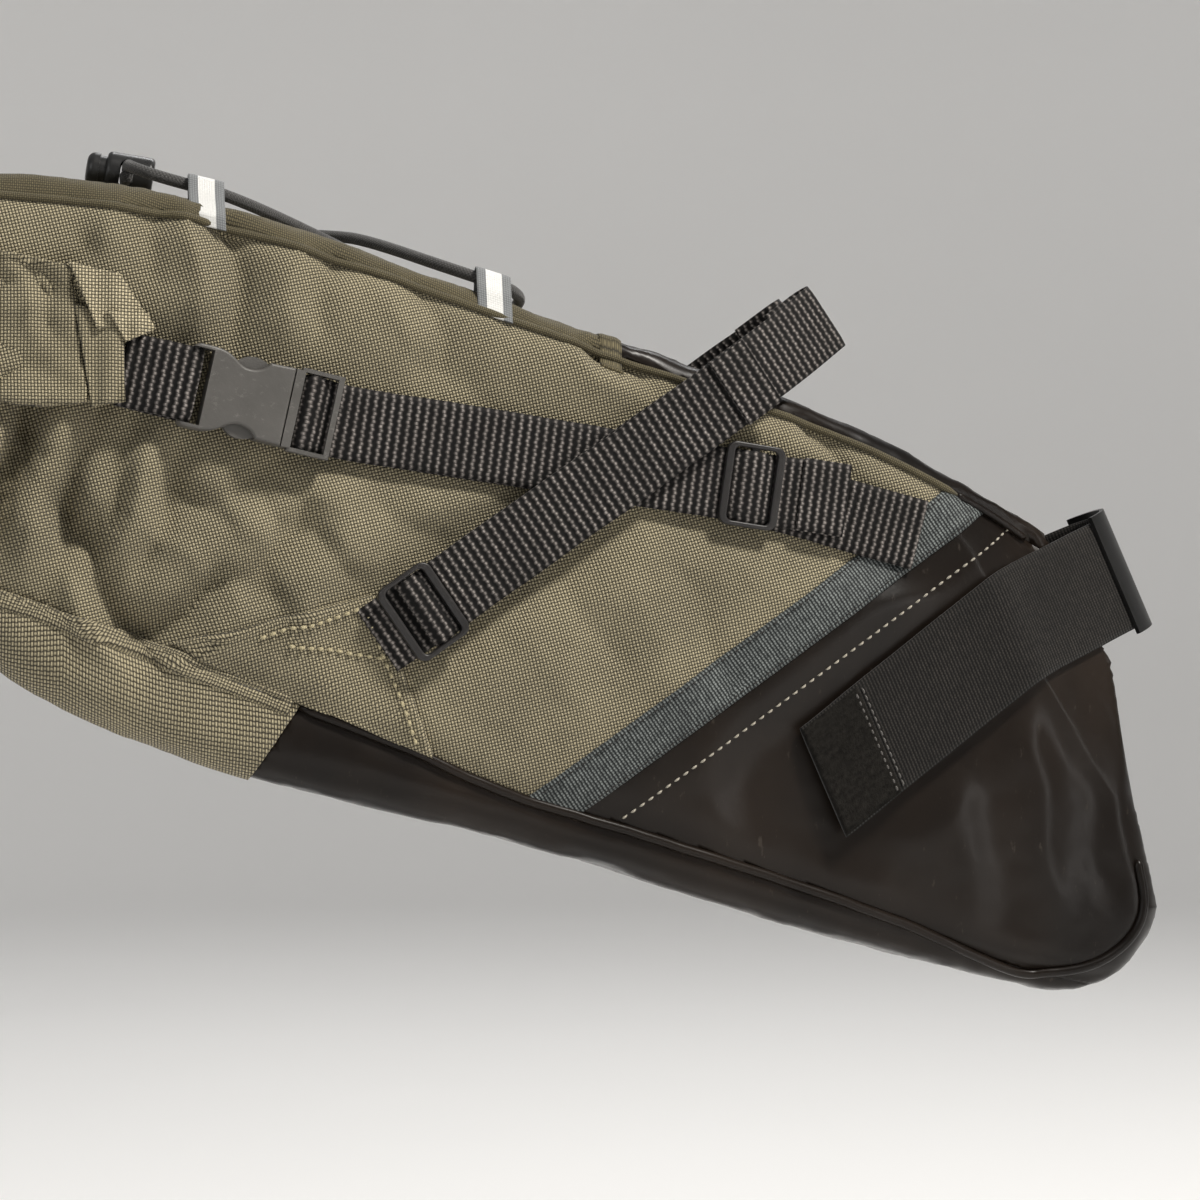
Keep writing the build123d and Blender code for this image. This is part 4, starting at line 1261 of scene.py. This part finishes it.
# ---- the cloth folded back beyond the flap's edge, over the sewn end of the tail webbing ----
FOLDED = {
    "tail_fold_lower": (
        OLIVE, [(-348, 90, None), (-333.5, 86, 7.0), (-333, 59, 6.6), (-343.5, 57.5, None)]),
    "tail_fold_upper": (
        OLIVE_PALE, [(-351, 103.5, None), (-334.5, 100, 5.0), (-324, 84.5, 3.4), (-342, 82, 8.6)]),
    "tail_fold_turned": (
        OLIVE_PALE, [(-339, 88, 8.4), (-325.5, 87.5, 5.0), (-323, 82.5, 4.6), (-333, 78, 8.0)]),
}


def folded_corner(x, z, lift):
    """A corner on the wing's own face, or lift off the wall beyond it, on the right side."""
    if lift is None:
        hit = wing_tree.ray_cast(Vector((x * MM, -0.3, z * MM)), Vector((0, 1, 0)))[0]
        if hit is not None:
            return hit + wall_normal() * -0.0016
    return wall(x * MM, z * MM, (lift or 6.0) * MM)


def folded_cloth(name, corners, hand, steps=16, thick=0.0011):
    """A crisp four-cornered fold of cloth, bowed a little out of plane."""
    a, b, c, d = (folded_corner(*corner) for corner in corners)
    upper, lower, cloth = [], [], []
    for i in range(steps + 1):
        for j in range(steps + 1):
            u, v = i / steps, j / steps
            point = a.lerp(b, u).lerp(d.lerp(c, u), v)
            bow = 0.0012 * math.sin(math.pi * v) * math.sin(math.pi * u) + 0.0008 * math.sin(9 * u + 4 * v)
            point = point + wall_normal() * bow
            upper.append(flip(point + wall_normal() * thick, hand))
            lower.append(flip(point, hand))
            cloth.append((point.x, point.z, 0))
    return band_mesh(name, upper, lower, cloth, steps + 1, steps + 1)


wing_tree = tree_of(["roll_wing_right"])
for side, hand in SIDES:
    for name, (material, corners) in FOLDED.items():
        finish_piece(folded_cloth(f"{name}_{side}", corners, hand), material)


# ======== tabs on top, with their reflective stripe ========
def tab_tape(name, place, hand):
    """Tape from the side seam up over the rim, round the cord and down on the top cloth."""
    x, y, z, fall = (v * MM if k < 3 else v for k, v in enumerate(place))
    slope = math.radians(fall)
    along = Vector((math.cos(slope), 0, -math.sin(slope)))
    seam = float(top_seam_z(x))
    path = [on_side(x, seam + rise * MM, 0.0008)[0] for rise in (-1.5, 1.0, 3.5)]
    path += [Vector((x, -(y + out * MM), z + up * MM)) for out, up in
             ((6.6, -3.0), (4.8, -0.2), (3.4, 2.8), (0, 3.6), (-3.4, 2.6), (-4.4, -0.8))]
    foot, normal = top_point(x, -(y - 0.0065), 0.0006)
    path += [foot, foot + Vector((0, 0.005, 0))]
    rows = [(*p, *along) for p in path]
    return webbing_band(name, rows, hand, 0.0120, 0.0008, 0.0005, 0.0008, 0.00002, 24)


# each tab's x, y and z, and how many degrees the top falls there
TABS = [(-211, 48, 101.4, 17), (-306, 56, 130.4, 13)]
for side, hand in SIDES:
    for k, place in enumerate(TABS):
        loop = tab_tape(f"tab_{k}_{side}", place, hand)
        finish_piece(loop, REFLECTIVE, "bag", [f"cord_tabs_{side}"])


# ======== hardware and hidden pieces: the CAD nodes with eased edges and their own finishes ========
KEPT = {
    BUCKLE_PAINTED_SUNLIT: ["buckle_female", "buckle_male", "prong_upper", "prong_lower"],
    PLASTIC: ["strap_slider", "ladder_lock"],
    TOGGLE: ["cord_lock_body", "cord_lock_plunger"],
    STIFFENER: ["base_stiffener", "mouth_stiffeners"],
    FOAM: ["nose_pad"],
    RUBBER: ["grip_pad"],
}
EASED = (PLASTIC, BUCKLE_PAINTED_SUNLIT, RUBBER)


def ease_edges(node):
    eased = node.modifiers.new("eased_edges", "BEVEL")
    eased.width = 0.00035
    eased.segments = 2
    eased.limit_method = "ANGLE"
    eased.angle_limit = math.radians(35)


for material, names in KEPT.items():
    for name in [f"{name}{side}" for name in names for side in ("", "_right", "_left")]:
        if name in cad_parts:
            give_material(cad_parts[name], material)
            if material in EASED:
                ease_edges(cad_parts[name])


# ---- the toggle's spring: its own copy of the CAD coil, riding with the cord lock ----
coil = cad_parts["cord_lock_spring"].data
spring = new_mesh("toggle_spring", [v.co for v in coil.vertices], [p.vertices for p in coil.polygons])
finish_piece(spring, STEEL, "cord_lock", ["cord_lock_spring"])
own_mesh(spring)


# ======== floor and light ========
def studio():
    """A pale round dish: a flat floor below the bag that curves up into a low wall all round."""
    floor_z, flat, corner, wall_top, around = -0.30, 2.3, 0.9, 1.6, 72
    profile = [(0.05, floor_z), (flat, floor_z)]
    profile += [(flat + corner * math.sin(a), floor_z + corner * (1 - math.cos(a)))
                for a in np.linspace(0, math.pi / 2, 14)[1:]]
    profile.append((flat + corner, wall_top))
    turns = [2 * math.pi * k / around for k in range(around)]
    verts = [(r * math.cos(t), -r * math.sin(t), z) for r, z in profile for t in turns]
    faces = [*grid_faces(len(profile), around, True), tuple(reversed(range(around)))]
    dish = new_mesh("studio_dish", verts, faces)
    m = Finish("pale_floor", Roughness=0.9)
    dish.data.materials.append(m.done(m.blend(m.noise(m.object_place(), 3, 2), (0.90,) * 3, (0.93,) * 3)))


def area_light(name, place, target, size, power, colour):
    data = bpy.data.lights.new(name, "AREA")
    data.shape = "RECTANGLE"
    data.size, data.size_y = size
    data.energy = power
    data.color = colour
    lamp = bpy.data.objects.new(name, data)
    lamp.location = place
    lamp.rotation_mode = "QUATERNION"
    lamp.rotation_quaternion = (Vector(target) - Vector(place)).to_track_quat("-Z", "Y")
    bpy.context.scene.collection.objects.link(lamp)


studio()
bpy.context.scene.view_settings.view_transform = "Standard"
area_light("key", (0.55, -0.80, 1.45), (-0.2, 0, 0), (0.30, 0.30), 38, (1.0, 0.96, 0.90))
area_light("left_fill", (-1.5, -1.0, 0.7), (-0.25, 0, 0), (0.9, 0.9), 3, (0.96, 0.98, 1.0))
area_light("rim", (0.2, 1.1, 1.4), (-0.2, 0, 0.05), (1.0, 0.5), 9, (1.0, 1.0, 1.0))
area_light("nose_strip", (0.75, -0.75, 0.1), (0.0, 0, -0.08), (0.08, 0.7), 1.6, (1.0, 0.97, 0.94))
world = bpy.data.worlds.new("studio_world")
world.use_nodes = True
world.node_tree.nodes["Background"].inputs["Color"].default_value = (0.90, 0.90, 0.90, 1)
world.node_tree.nodes["Background"].inputs["Strength"].default_value = 0.20
bpy.context.scene.world = world
